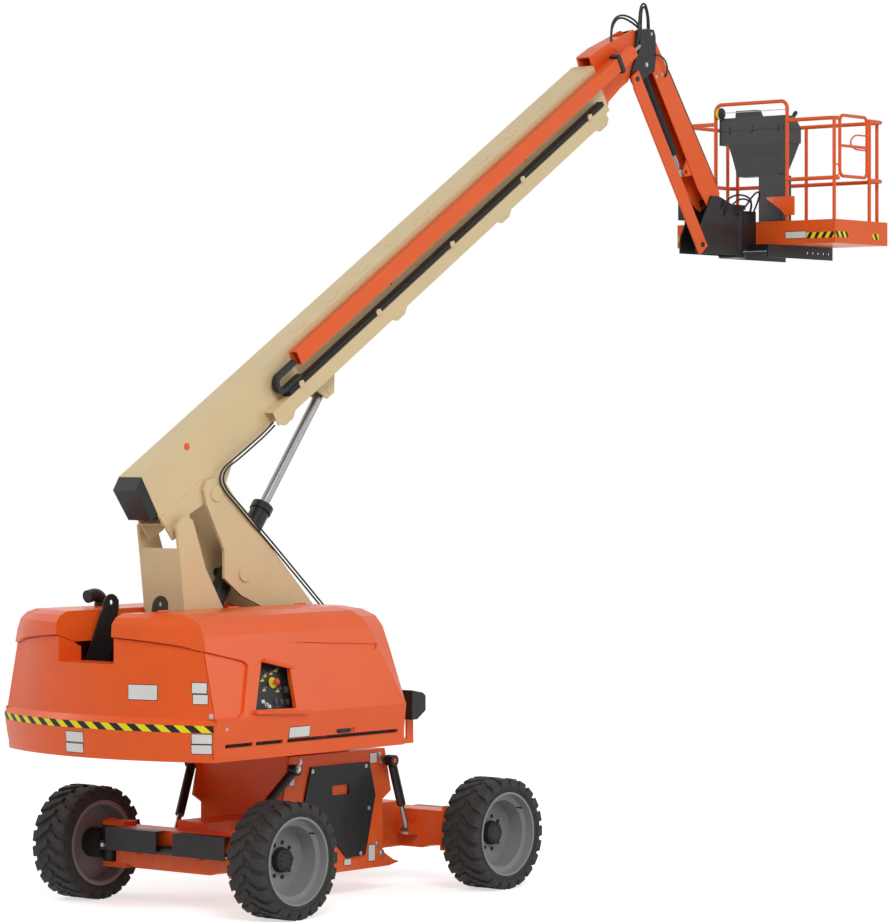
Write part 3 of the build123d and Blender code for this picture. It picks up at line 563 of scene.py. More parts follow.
def box_outline(low_x, high_x, low_y, high_y, cut=0.0):
    """A rectangle's corners, cut off at 45 degrees."""
    if not cut:
        return [(low_x, low_y), (high_x, low_y), (high_x, high_y), (low_x, high_y)]
    return [
        (low_x + cut, low_y), (high_x - cut, low_y), (high_x, low_y + cut), (high_x, high_y - cut),
        (high_x - cut, high_y), (low_x + cut, high_y), (low_x, high_y - cut), (low_x, low_y + cut),
    ]


class Form:
    """One mesh in metres, built up from closed forms."""

    def __init__(self):
        self.mesh = bmesh.new()

    def slab(self, outline, low, high, frame, bevel=0.0):
        """An outline in a frame's first two directions, from one height to another on its third."""
        verts = self.mesh.verts
        under = [verts.new(frame @ Vector((x, y, low))) for x, y in outline]
        over = [verts.new(frame @ Vector((x, y, high))) for x, y in outline]
        faces = [self.mesh.faces.new(under[::-1]), self.mesh.faces.new(over)]
        for here, there in zip(range(len(outline)), [*range(1, len(outline)), 0]):
            faces.append(self.mesh.faces.new((under[here], under[there], over[there], over[here])))
        if bevel:
            edges = list({edge for face in faces for edge in face.edges})
            bmesh.ops.bevel(
                self.mesh, geom=edges, offset=bevel, segments=2, profile=0.6,
                affect="EDGES", clamp_overlap=True,
            )
        return self

    def turned(self, profile, frame, steps=28, closed=False):
        """A profile of (radius, height) turned about a frame's third direction."""
        rings = []
        for radius, height in profile:
            if radius < 1e-6:
                rings.append([self.mesh.verts.new(frame @ Vector((0, 0, height)))])
                continue
            angles = [2 * math.pi * step / steps for step in range(steps)]
            rings.append([
                self.mesh.verts.new(frame @ Vector((radius * math.cos(a), radius * math.sin(a), height)))
                for a in angles
            ])
        following = rings[1:] + (rings[:1] if closed else [])
        for first, second in zip(rings, following):
            for step in range(steps):
                after = (step + 1) % steps
                corners = [
                    first[step % len(first)], first[after % len(first)],
                    second[after % len(second)], second[step % len(second)],
                ]
                corners = list(dict.fromkeys(corners))
                if len(corners) > 2:
                    self.mesh.faces.new(corners)
        return self

    def rod(self, start, end, radius, steps=20, edge=0.12):
        """A round bar with broken edges."""
        start, end = Vector(start), Vector(end)
        length = (end - start).length
        cut = radius * edge
        half = [(0, 0), (radius - cut, 0), (radius, cut)]
        profile = half + [(reach, length - height) for reach, height in half[::-1]]
        return self.turned(profile, frame_at(start, end - start), steps)

    def skin(self, rows, out=0.0016, under=0.0008):
        """A thin closed sheet over rows of (place, normal)."""
        layers = []
        for offset in (out, -under):
            layers.append([
                [self.mesh.verts.new(place + normal * offset) for place, normal in row] for row in rows
            ])
        height, width = len(rows), len(rows[0])
        for layer, order in zip(layers, (1, -1)):
            for i in range(height - 1):
                for j in range(width - 1):
                    corners = [layer[i][j], layer[i][j + 1], layer[i + 1][j + 1], layer[i + 1][j]]
                    self.mesh.faces.new(corners[::order])
        rim = [(0, j) for j in range(width)]
        rim += [(i, width - 1) for i in range(1, height)]
        rim += [(height - 1, j) for j in range(width - 2, -1, -1)]
        rim += [(i, 0) for i in range(height - 2, 0, -1)]
        for (i, j), (k, m) in zip(rim, rim[1:] + rim[:1]):
            self.mesh.faces.new((layers[0][i][j], layers[1][i][j], layers[1][k][m], layers[0][k][m]))
        return self

    def pipe(self, points, radius):
        """A round line with rounded corners through these control points."""
        drawn = curve("pipe", points, radius)
        mesh = bpy.data.meshes.new_from_object(drawn)
        bpy.data.objects.remove(drawn)
        self.mesh.from_mesh(mesh)
        bpy.data.meshes.remove(mesh)
        return self

    def data(self, name):
        """The finished mesh, smooth but for its edges."""
        bmesh.ops.remove_doubles(self.mesh, verts=self.mesh.verts, dist=1e-6)
        bmesh.ops.recalc_face_normals(self.mesh, faces=self.mesh.faces)
        mesh = bpy.data.meshes.new(name)
        self.mesh.to_mesh(mesh)
        self.mesh.free()
        return smooth(mesh)

    def piece(self, name, body, slot):
        """The form as a piece that rides on a body."""
        return add(name, self.data(name), body, slot)


def smooth(mesh, angle=math.radians(34)):
    """Smooth shading with sharp edges kept."""
    mesh.shade_smooth()
    mesh.set_sharp_from_angle(angle=angle)
    return mesh


def add(name, mesh, body, slot):
    """Puts a finished mesh on its body, with its finish."""
    made = bpy.data.objects.new(name, mesh)
    bpy.context.collection.objects.link(made)
    mesh.materials.clear()
    mesh.materials.append(finish(slot))
    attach(made, body)
    return made


def curve(name, points, radius):
    """A round line on one smooth spline with these control points."""
    data = bpy.data.curves.new(name, "CURVE")
    data.dimensions = "3D"
    data.bevel_depth = radius
    data.bevel_resolution = 3
    data.resolution_u = 10
    data.use_fill_caps = True
    spline = data.splines.new("NURBS")
    spline.points.add(len(points) - 1)
    for control, place in zip(spline.points, points):
        control.co = (*place, 1)
    spline.order_u = 3
    spline.use_endpoint_u = True
    made = bpy.data.objects.new(name, data)
    bpy.context.collection.objects.link(made)
    return made


# Geometry trees for what repeats

class Grower:
    """A geometry tree with named inputs, which ends in real meshes with a material."""

    def __init__(self, name, **inputs):
        self.tree = bpy.data.node_groups.new(name, "GeometryNodeTree")
        face = self.tree.interface
        face.new_socket("Geometry", in_out="INPUT", socket_type="NodeSocketGeometry")
        for label, (kind, value) in inputs.items():
            socket = face.new_socket(label, in_out="INPUT", socket_type=f"NodeSocket{kind}")
            socket.default_value = value
        face.new_socket("Material", in_out="INPUT", socket_type="NodeSocketMaterial")
        face.new_socket("Geometry", in_out="OUTPUT", socket_type="NodeSocketGeometry")
        self.start = self.tree.nodes.new("NodeGroupInput")

    def node(self, kind, settings, **values):
        """Adds one node: its settings first, then the values or links of its sockets by name."""
        made = self.tree.nodes.new(kind)
        for key, value in settings.items():
            setattr(made, key, value)
        for key, value in values.items():
            socket = made.inputs[int(key[1:])] if key[1:].isdigit() else made.inputs[key.replace("_", " ")]
            if isinstance(value, bpy.types.NodeSocket):
                self.tree.links.new(value, socket)
            else:
                socket.default_value = value
        return made

    def end(self, instances):
        """Makes the instances real and gives them the material."""
        real = self.node("GeometryNodeRealizeInstances", {}, Geometry=instances)
        done = self.node(
            "GeometryNodeSetMaterial", {}, Geometry=real.outputs[0], Material=self.start.outputs["Material"],
        )
        out = self.tree.nodes.new("NodeGroupOutput")
        self.tree.links.new(done.outputs[0], out.inputs[0])
        return self.tree


def ring_tree():
    """Copies of a form turned about an axis through a centre."""
    made = Grower(
        "ring of copies", Copies=("Int", 12), Centre=("Vector", (0, 0, 0)), Axis=("Vector", (0, 1, 0)),
    )
    given = made.start.outputs
    away = made.node("ShaderNodeVectorMath", {"operation": "SCALE"}, i0=given["Centre"], Scale=-1.0)
    form = made.node("GeometryNodeTransform", {}, Geometry=given["Geometry"], Translation=away.outputs[0])
    points = made.node(
        "GeometryNodeMeshLine", {}, Count=given["Copies"], Start_Location=given["Centre"], Offset=(0, 0, 0),
    )
    count = made.node("GeometryNodeInputIndex", {})
    share = made.node("ShaderNodeMath", {"operation": "DIVIDE"}, i0=count.outputs[0], i1=given["Copies"])
    angle = made.node("ShaderNodeMath", {"operation": "MULTIPLY"}, i0=share.outputs[0], i1=2 * math.pi)
    euler = made.node(
        "ShaderNodeVectorMath", {"operation": "SCALE"}, i0=given["Axis"], Scale=angle.outputs[0],
    )
    turn = made.node("FunctionNodeEulerToRotation", {}, Euler=euler.outputs[0])
    copies = made.node(
        "GeometryNodeInstanceOnPoints", {}, Points=points.outputs[0], Instance=form.outputs[0],
        Rotation=turn.outputs[0],
    )
    return made.end(copies.outputs[0])


def row_tree():
    """Copies of a form, a step apart."""
    made = Grower("row of copies", Copies=("Int", 4), Step=("Vector", (0.1, 0, 0)))
    given = made.start.outputs
    points = made.node("GeometryNodeMeshLine", {}, Count=given["Copies"], Offset=given["Step"])
    copies = made.node(
        "GeometryNodeInstanceOnPoints", {}, Points=points.outputs[0], Instance=given["Geometry"],
    )
    return made.end(copies.outputs[0])


def bolt_tree():
    """A hexagon head with its washer on every point, along the point's own direction."""
    made = Grower("bolt heads", Radius=("Float", 0.012), Height=("Float", 0.008))
    given = made.start.outputs
    aim = made.node("GeometryNodeInputNamedAttribute", {"data_type": "FLOAT_VECTOR"}, Name="aim")
    turn = made.node("FunctionNodeAlignRotationToVector", {"axis": "Z"}, Vector=aim.outputs[0])
    head = made.node(
        "GeometryNodeMeshCylinder", {}, Vertices=6, Radius=given["Radius"], Depth=given["Height"],
    )
    wide = made.node("ShaderNodeMath", {"operation": "MULTIPLY"}, i0=given["Radius"], i1=1.45)
    thin = made.node("ShaderNodeMath", {"operation": "MULTIPLY"}, i0=given["Height"], i1=0.5)
    washer = made.node(
        "GeometryNodeMeshCylinder", {}, Vertices=20, Radius=wide.outputs[0], Depth=thin.outputs[0],
    )
    rise = made.node("ShaderNodeCombineXYZ", {}, Z=thin.outputs[0])
    lifted = made.node("GeometryNodeTransform", {}, Geometry=head.outputs[0], Translation=rise.outputs[0])
    both = made.tree.nodes.new("GeometryNodeJoinGeometry")
    made.tree.links.new(lifted.outputs[0], both.inputs[0])
    made.tree.links.new(washer.outputs[0], both.inputs[0])
    copies = made.node(
        "GeometryNodeInstanceOnPoints", {}, Points=given["Geometry"], Instance=both.outputs[0],
        Rotation=turn.outputs[0],
    )
    return made.end(copies.outputs[0])


def grown(mesh, tree, slot, **values):
    """The plain mesh that a geometry tree makes of a mesh."""
    carrier = bpy.data.objects.new(mesh.name, mesh)
    bpy.context.collection.objects.link(carrier)
    modifier = carrier.modifiers.new("grow", "NODES")
    modifier.node_group = tree
    values["Material"] = finish(slot)
    for item in tree.interface.items_tree:
        if item.in_out == "INPUT" and item.name in values:
            modifier[item.identifier] = values[item.name]
    graph = bpy.context.evaluated_depsgraph_get()
    result = bpy.data.meshes.new_from_object(carrier.evaluated_get(graph), depsgraph=graph)
    bpy.data.objects.remove(carrier)
    return result


def bolts(name, body, places, radius, height, slot="steel"):
    """Bolt heads with washers on a list of (place, normal)."""
    mesh = bpy.data.meshes.new(name)
    mesh.from_pydata([tuple(place) for place, _ in places], [], [])
    aim = mesh.attributes.new("aim", "FLOAT_VECTOR", "POINT")
    for number, (_, normal) in enumerate(places):
        aim.data[number].vector = normal
    made = grown(mesh, bolt_tree(), slot, Radius=radius, Height=height)
    return add(name, smooth(made), body, slot)


def repeated(name, body, form, copies, step, slot):
    """A form repeated in a row."""
    mesh = grown(form.data(name), row_tree(), slot, Copies=copies, Step=tuple(step))
    return add(name, smooth(mesh), body, slot)


# Hoses

def hose_run(name, points, radius):
    """A hydraulic hose along a route."""
    line = curve(name, points, 0)
    route = bpy.data.meshes.new_from_object(line)
    bpy.data.meshes.remove(route)
    line.data.bevel_depth = radius
    mesh = bpy.data.meshes.new_from_object(line)
    bpy.data.objects.remove(line)
    form = Form()
    form.mesh.from_mesh(mesh)
    data = form.data(name)
    made = bpy.data.objects.new(name, data)
    bpy.context.collection.objects.link(made)
    data.materials.clear()
    data.materials.append(finish("hose_black"))
    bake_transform(made)


class LIFT_OT_hoses(bpy.types.Operator):
    """Run the hydraulic hoses at the head, the boom's foot and the platform"""

    bl_idname = "lift.hoses"
    bl_label = "Hoses"

    def execute(self, context):
        self.head()
        self.boom_foot()
        self.platform()
        return {"FINISHED"}

    def head(self):
        """Loops from the boom's nose over to the head bracket."""
        loops = {
            "head_hose_1": [
                (4.267, -0.060, 7.20), (4.262, -0.060, 7.39), (4.300, -0.055, 7.52), (4.430, -0.045, 7.585),
                (4.596, -0.035, 7.575), (4.745, -0.025, 7.521), (4.800, -0.020, 7.40),
            ],
            "head_hose_2": [
                (4.345, 0.0, 7.22), (4.345, 0.0, 7.40), (4.385, 0.0, 7.51), (4.503, 0.01, 7.575),
                (4.676, 0.01, 7.54), (4.810, 0.0, 7.47), (4.850, 0.0, 7.38),
            ],
            "head_hose_3": [
                (4.540, -0.120, 7.20), (4.610, -0.118, 7.36), (4.622, -0.112, 7.54), (4.655, -0.105, 7.68),
                (4.735, -0.095, 7.715), (4.800, -0.080, 7.640), (4.835, -0.070, 7.53), (4.850, -0.060, 7.40),
            ],
            "head_hose_4": [
                (4.600, -0.115, 7.21), (4.672, -0.100, 7.37), (4.690, -0.085, 7.54), (4.722, -0.070, 7.66),
                (4.785, -0.055, 7.695), (4.838, -0.045, 7.62), (4.860, -0.035, 7.52), (4.862, -0.030, 7.42),
            ],
        }
        for name, points in loops.items():
            hose_run(name, points, 0.0095)
        jib_route = [
            (4.89, -0.104, 7.25), (4.95, -0.118, 7.245), (5.02, -0.118, 7.205),
            (5.062, -0.112, 7.15), (5.075, -0.100, 7.09), (5.070, -0.070, 7.05),
        ]
        hose_run("jib_hose", jib_route, 0.008)

    def boom_foot(self):
        """The pair that leaves the tray, hangs round the boom's foot and follows the upright."""
        for number, (y, inward) in enumerate(((-0.190, 0.0), (-0.208, 0.022))):
            points = [
                (-0.419, y + 0.02, 3.862 - inward), (-0.54, y, 3.790 - inward), (-0.68, y, 3.705 - inward),
                (-0.90, y, 3.575 - inward), (-1.04 + inward, y, 3.50), (-1.085 + inward, y, 3.41),
                (-1.03 + inward, y, 3.32), (-0.877, y, 3.20 + inward), (-0.70, y, 3.05 + inward),
                (-0.56, y + 0.01, 2.955 + inward), (-0.20, y + 0.012, 2.655 + inward),
                (0.20, y + 0.012, 2.318 + inward),
            ]
            hose_run(
                f"boom_foot_hose_{number + 1}", points, 0.0075,
            )

    def platform(self):
        """Short loops round the platform's rotator."""
        runs = (
            [(5.93, -0.095, 5.86), (5.98, -0.13, 5.97), (6.12, -0.14, 6.02),
             (6.30, -0.13, 6.02), (6.45, -0.10, 5.97), (6.47, -0.05, 5.87)],
            [(5.98, -0.095, 5.80), (6.04, -0.15, 5.93), (6.18, -0.16, 5.99),
             (6.34, -0.15, 5.97), (6.44, -0.10, 5.92), (6.45, -0.055, 5.84)],
            [(6.20, -0.09, 5.80), (6.22, -0.17, 5.90), (6.32, -0.19, 6.02),
             (6.45, -0.17, 6.07), (6.54, -0.12, 6.02), (6.53, -0.05, 5.87)],
        )
        for number, points in enumerate(runs):
            name = f"rotator_hose_{number + 1}"
            hose_run(name, points, 0.009)


# Wheels

def lug(settings):
    """One tread lug for each shoulder of a tyre about the origin, its axle along Y."""
    radius = TYRE_RADIUS
    rise = settings.lug_height
    stations = [
        (0.1795, 0.000, 0.042, radius - 0.050), (0.1800, 0.004, 0.042, radius - 0.016),
        (0.1680, 0.008, 0.041, radius - 0.001), (0.1200, 0.022, 0.037, radius),
        (0.0900, 0.032, 0.033, radius), (0.0640, 0.064, 0.031, radius), (0.0060, 0.094, 0.024, radius),
    ]
    mesh = bmesh.new()
    for side in (1, -1):
        rings = []
        shift = 0 if side > 0 else math.pi / settings.lugs
        for across, along, half, top in stations:
            ring = []
            foot, deep = half + 0.007, rise + 0.006
            for reach, low in ((half, 0), (foot, deep), (-foot, deep), (-half, 0)):
                angle = (along + reach) / radius + shift
                level = top - low
                ring.append(mesh.verts.new((level * math.sin(angle), side * across, level * math.cos(angle))))
            rings.append(ring)
        for first, second in zip(rings, rings[1:]):
            for here, there in ((0, 1), (1, 2), (2, 3), (3, 0)):
                mesh.faces.new((first[here], first[there], second[there], second[here]))
        mesh.faces.new(rings[0])
        mesh.faces.new(rings[-1][::-1])
    edges = [edge for edge in mesh.edges if max(v.co.length for v in edge.verts) > radius - 0.02]
    bmesh.ops.bevel(mesh, geom=edges, offset=0.004, segments=1, affect="EDGES", clamp_overlap=True)
    bmesh.ops.recalc_face_normals(mesh, faces=mesh.faces)
    return mesh


class LIFT_OT_tyres(bpy.types.Operator):
    """Make the four tyres with their lugs, and the wheels' nuts and valves"""

    bl_idname = "lift.tyres"
    bl_label = "Tyres"

    def execute(self, context):
        settings = context.scene.lift_tyres
        wall = [
            (0.347, -0.150), (0.352, -0.166), (0.370, -0.1745), (0.392, -0.1770), (0.412, -0.1750),
            (0.426, -0.166), (0.4375, -0.148), (0.4400, -0.08),
        ]
        carcass = wall + [(reach, -across) for reach, across in wall[::-1]]
        for corner in CORNERS:
            low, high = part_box(f"{corner}_tyre")
            centre = (low + high) / 2
            side = 1 if centre.y > 0 else -1
            form = lug(settings)
            bmesh.ops.transform(form, matrix=Matrix.Translation(centre), verts=form.verts)
            mesh = bpy.data.meshes.new(f"{corner}_lugs")
            form.to_mesh(mesh)
            form.free()
            ring = grown(
                mesh, ring_tree(), "tyre_rubber", Copies=settings.lugs, Centre=centre, Axis=(0.0, 1.0, 0.0),
            )
            tyre = Form()
            tyre.mesh.from_mesh(ring)
            tyre.turned(carcass, frame_at(centre, (0, 1, 0)), 72, closed=True)
            for mark in (0.372, 0.405):
                ridge = [(-0.004, 0.170), (-0.002, 0.1792), (0.002, 0.1792), (0.004, 0.170)]
                profile = [(mark + reach, height) for reach, height in ridge]
                tyre.turned(profile, frame_at(centre, (0, side, 0)), 72, closed=True)
            made = tyre.piece(f"{corner}_tread", f"{corner}_wheel", "tyre_rubber")
            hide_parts(f"{corner}_tyre")
            self.nuts(corner, centre, side)
        return {"FINISHED"}

    def nuts(self, corner, centre, side):
        """Wheel nuts, the hub's cover bolts and the valve."""
        body = f"{corner}_wheel"
        inward = Vector((0, -side, 0))
        for name, node, radius, count, size in (
            ("nuts", f"{corner}_rim", 0.136, 9, 0.012), ("hub_bolts", f"{corner}_hub", 0.062, 10, 0.007),
        ):
            spots = []
            for number in range(count):
                angle = 2 * math.pi * number / count
                start = centre + Vector((radius * math.cos(angle), side * 0.4, radius * math.sin(angle)))
                spots.append(seat(node, start, inward))
            bolts(f"{corner}_{name}", body, spots, size, size, "dark_steel")
        foot = centre + Vector((0.20, side * 0.5, 0.20))
        place, _ = seat(f"{corner}_rim", foot, inward)
        Form().rod(place + inward * 0.004, place - inward * 0.035, 0.006).rod(
            place - inward * 0.034, place - inward * 0.05, 0.0085,
        ).piece(f"{corner}_valve", body, "black_plastic")


# Stripes, plates and bolts

def patch(form, node, px, py, width, height, out=0.0016):
    """A thin rectangle that follows the surface seen at a point of the photograph."""
    place, normal = seen(node, px, py)
    across = Vector((0, 0, 1)).cross(normal)
    if across.length < 0.05:
        across = Vector((0, 1, 0))
    across.normalize()
    up = normal.cross(across)
    rows = []
    for i in range(5):
        row = []
        for j in range(7):
            spot = place + across * width * (j / 6 - 0.5) + up * height * (i / 4 - 0.5)
            row.append(seat(node, spot + normal * 0.03, -normal))
        rows.append(row)
    form.skin(rows, out)


BLANK_PLATES = (
    # construction piece, body, then photo x, photo y, width and height of each plate
    ("counterweight", "turntable", (
        (142.6, 692.3, 0.250, 0.112), (199.4, 688.2, 0.120, 0.078), (200.4, 699.6, 0.120, 0.070),
        (74.5, 736.6, 0.190, 0.078), (74.7, 747.6, 0.190, 0.068), (201.8, 739.2, 0.160, 0.072),
        (201.6, 749.6, 0.160, 0.066),
    )),
    ("hood_right", "right_hood", ((299.5, 731.7, 0.235, 0.080),)),
    ("chassis_frame", "chassis", (
        (291.8, 780.5, 0.058, 0.085), (373.2, 757.8, 0.085, 0.080), (371.6, 852.8, 0.080, 0.130),
        (347.5, 862.0, 0.080, 0.050),
    )),
    ("platform_floor", "platform", ((795.8, 234.9, 0.230, 0.060),)),
)

PHOTO_BOLTS = (
    # construction piece, body, radius, then photo x and y of each bolt
    ("counterweight", "turntable", 0.014, ((211.4, 716.6),)),
    ("hood_right", "right_hood", 0.010, ((226.7, 729.6),)),
    ("chassis_frame", "chassis", 0.016, ((300.0, 762.4), (379.2, 754.6), (377.5, 843.3))),
    ("chassis_frame", "chassis", 0.020, ((298.3, 769.3), (381.8, 760.7), (381.8, 852.8))),
    ("side_covers", "chassis", 0.012, ((312.6, 771.5), (365.9, 765.8), (368.9, 808.0), (360.8, 853.1))),
    ("base_boom", "base_section", 0.010, ((591.9, 77.1), (595.0, 74.6), (579.5, 67.6), (583.9, 67.6))),
    ("fly_boom", "fly_section", 0.009, ((617.2, 50.9),)),
    ("head_bracket", "head_bracket", 0.014, ((646.8, 64.7),)),
    ("head_bracket", "head_bracket", 0.010, ((651.6, 34.0),)),
    ("jib_beam", "jib_beam", 0.010, ((656.4, 76.8), (662.0, 74.2))),
)
HEAD_SHARE = 0.7
LOW_HEAD = 0.0045


class LIFT_OT_stripes(bpy.types.Operator):
    """Lay the yellow and black stripes on the counterweight and the platform"""

    bl_idname = "lift.stripes"
    bl_label = "Stripes"

    def execute(self, context):
        rows = []
        for height in (1.502, 1.530, 1.556):
            row = []
            for step in range(121):
                angle = math.radians(152.3 + 55.4 * step / 120)
                ray = Vector((math.cos(angle), math.sin(angle), 0))
                row.append(seat("counterweight", ray * 3 + Vector((0, 0, height)), -ray))
            rows.append(row)
        Form().skin(rows, 0.0022).piece("tail_stripes", "turntable", "stripes_tail")
        form = Form()
        for px, py, width in (
            (682.4, 239.3, 0.10), (820.0, 234.9, 0.31), (841.8, 234.2, 0.21), (875.6, 236.9, 0.11),
        ):
            patch(form, "platform_floor", px, py, width, 0.055)
        form.piece("platform_stripes", "platform", "stripes_flat")
        return {"FINISHED"}


class LIFT_OT_plates(bpy.types.Operator):
    """Put on the blank plates and the bolt heads"""

    bl_idname = "lift.plates"
    bl_label = "Plates and bolts"

    def execute(self, context):
        for node, body, plates in BLANK_PLATES:
            form, rim = Form(), Form()
            for px, py, width, height in plates:
                patch(form, node, px, py, width, height, 0.0022)
                patch(rim, node, px, py, width + 0.010, height + 0.010, 0.0014)
            form.piece(f"blank_plates_{body}", body, "plate_white")
            rim.piece(f"plate_edges_{body}", body, "black_plastic")
        for node, body, size, spots in PHOTO_BOLTS:
            places = [seen(node, *spot) for spot in spots]
            height = LOW_HEAD if node == "head_bracket" else size * HEAD_SHARE
            bolts(f"bolts_{body}_{round(size * 1000)}", body, places, size, height)
        return {"FINISHED"}


# Ground panel and console

class LIFT_OT_ground_panel(bpy.types.Operator):
    """Fit the ground panel's stop knob, key, meter and switches"""

    bl_idname = "lift.ground_panel"
    bl_label = "Ground panel"

    def execute(self, context):
        knob = frame_at(*seen("ground_panel", 272.6, 682.7))
        head = [
            (0, 0.020), (0.012, 0.020), (0.012, 0.034), (0.026, 0.038),
            (0.029, 0.046), (0.024, 0.055), (0, 0.058),
        ]
        Form().turned(head, knob).piece("stop_knob", "turntable", "red_knob")
        collar = [(0, -0.001), (0.044, -0.001), (0.044, 0.003), (0.020, 0.006), (0.014, 0.022), (0, 0.022)]
        Form().turned(collar, knob).piece("stop_collar", "turntable", "yellow_plate")
        marks, levers, boxes, plates = Form(), Form(), Form(), Form()
        lift_up = Vector((0, 0, 0.008))
        for px, py in (
            (264.9, 676.0), (262.1, 680.8), (264.0, 690.4), (275.5, 671.2), (270.7, 674.1), (277.4, 691.3),
        ):
            patch(marks, "ground_panel", px, py, 0.038, 0.012)
            base, out = seen("ground_panel", px, py - 1.6)
            levers.rod(base - out * 0.002, base + out * 0.007, 0.010, 6)
            levers.rod(base + out * 0.006, base + out * 0.030 + lift_up, 0.0045, 12)
        marks.piece("panel_marks", "turntable", "yellow_plate")
        levers.piece("panel_levers", "turntable", "steel")
        for px, py, width, height in (
            (287.0, 689.4, 0.075, 0.050), (275.5, 701.8, 0.040, 0.045), (281.2, 701.8, 0.040, 0.045),
            (287.0, 701.8, 0.040, 0.045),
        ):
            frame = frame_at(*seen("ground_panel", px, py))
            outline = box_outline(-width / 2, width / 2, -height / 2, height / 2, 0.004)
            boxes.slab(outline, -0.001, 0.008, frame, 0.0015)
            inner = box_outline(-width * 0.36, width * 0.36, -height * 0.34, height * 0.34, 0.003)
            boxes.slab(inner, 0.0075, 0.0125, frame, 0.001)
        boxes.piece("panel_switches", "turntable", "grey_box")
        key = [
            (0, -0.001), (0.022, -0.001), (0.022, 0.006), (0.015, 0.009),
            (0.013, 0.018), (0.004, 0.018), (0.004, 0.030), (0, 0.030),
        ]
        spot = frame_at(*seen("ground_panel", 266.3, 705.0))
        Form().turned(key, spot).piece("panel_key", "turntable", "steel")
        for px, py in ((263.2, 701.5), (269.5, 706.5)):
            patch(plates, "ground_panel", px, py, 0.036, 0.026)
        plates.piece("panel_plates", "turntable", "plate_white")
        return {"FINISHED"}


class LIFT_OT_console(bpy.types.Operator):
    """Fit the console's lid seam, sticks, stop knob and switches"""

    bl_idname = "lift.console"
    bl_label = "Console"

    def execute(self, context):
        side = frame_at((0, 0, 0), (0, -1, 0))
        lid = Form()
        for near, far in ((0.3045, 0.3105), (-0.4605, -0.4545)):
            lid.slab(box_outline(6.683, 6.962, 6.676, 6.692), near, far, side, 0.001)
        lid.slab(box_outline(6.679, 6.686, 6.676, 6.692), -0.4605, 0.3105, side, 0.001)
        for y in (-0.36, -0.10, 0.20):
            lid.slab(box_outline(6.674, 6.686, 6.655, 6.715), y, y + 0.03, side, 0.002)
        lid.piece("console_lid_seam", "platform", "grey_box")
        boot = [
            (0, -0.002), (0.045, -0.002), (0.043, 0.008), (0.030, 0.014), (0.034, 0.020),
            (0.020, 0.028), (0.022, 0.034), (0.010, 0.042), (0, 0.042),
        ]
        stick = [
            (0, 0.040), (0.008, 0.040), (0.010, 0.065), (0.019, 0.085),
            (0.021, 0.130), (0.015, 0.145), (0, 0.148),
        ]
        knob = [
            (0, 0.003), (0.012, 0.003), (0.012, 0.018), (0.024, 0.022),
            (0.026, 0.030), (0.020, 0.038), (0, 0.040),
        ]
        sticks, boots, knobs, keys, yellow = Form(), Form(), Form(), Form(), Form()
        for y in (-0.22, 0.37):
            spot = self.on_lid(y)
            boots.turned(boot, spot)
            sticks.turned(stick, spot)
        for y in (-0.14, -0.08, 0.11, 0.17, 0.23):
            spot = self.on_lid(y)
            keys.slab(box_outline(-0.017, 0.017, -0.028, 0.028, 0.004), -0.002, 0.006, spot, 0.001)
            keys.slab(box_outline(-0.010, 0.010, -0.018, 0.018, 0.003), 0.005, 0.012, spot, 0.001)
        spot = self.on_lid(0.02)
        yellow.turned([(0, -0.002), (0.036, -0.002), (0.036, 0.003), (0, 0.004)], spot)
        knobs.turned(knob, spot)
        sticks.piece("console_sticks", "platform", "black_plastic")
        boots.piece("console_boots", "platform", "tyre_rubber")
        keys.piece("console_switches", "platform", "black_plastic")
        yellow.piece("console_stop_plate", "platform", "yellow_plate")
        knobs.piece("console_stop_knob", "platform", "red_knob")
        return {"FINISHED"}

    def on_lid(self, y):
        """A place across the console's sloping lid, as a frame that stands on it."""
        return frame_at(*seat("console", (6.90, y, 7.2), (0, 0, -1)), (1, 0, 0))


# Trim of the hoods, the boom and the jib

def side_frame(foot, angle):
    """The side plane of a beam: along it, up from its foot, and out to its right side."""
    turn = Matrix.Rotation(-angle, 4, "Y")
    return Matrix.Translation(foot) @ turn @ Matrix.Rotation(math.radians(90), 4, "X")


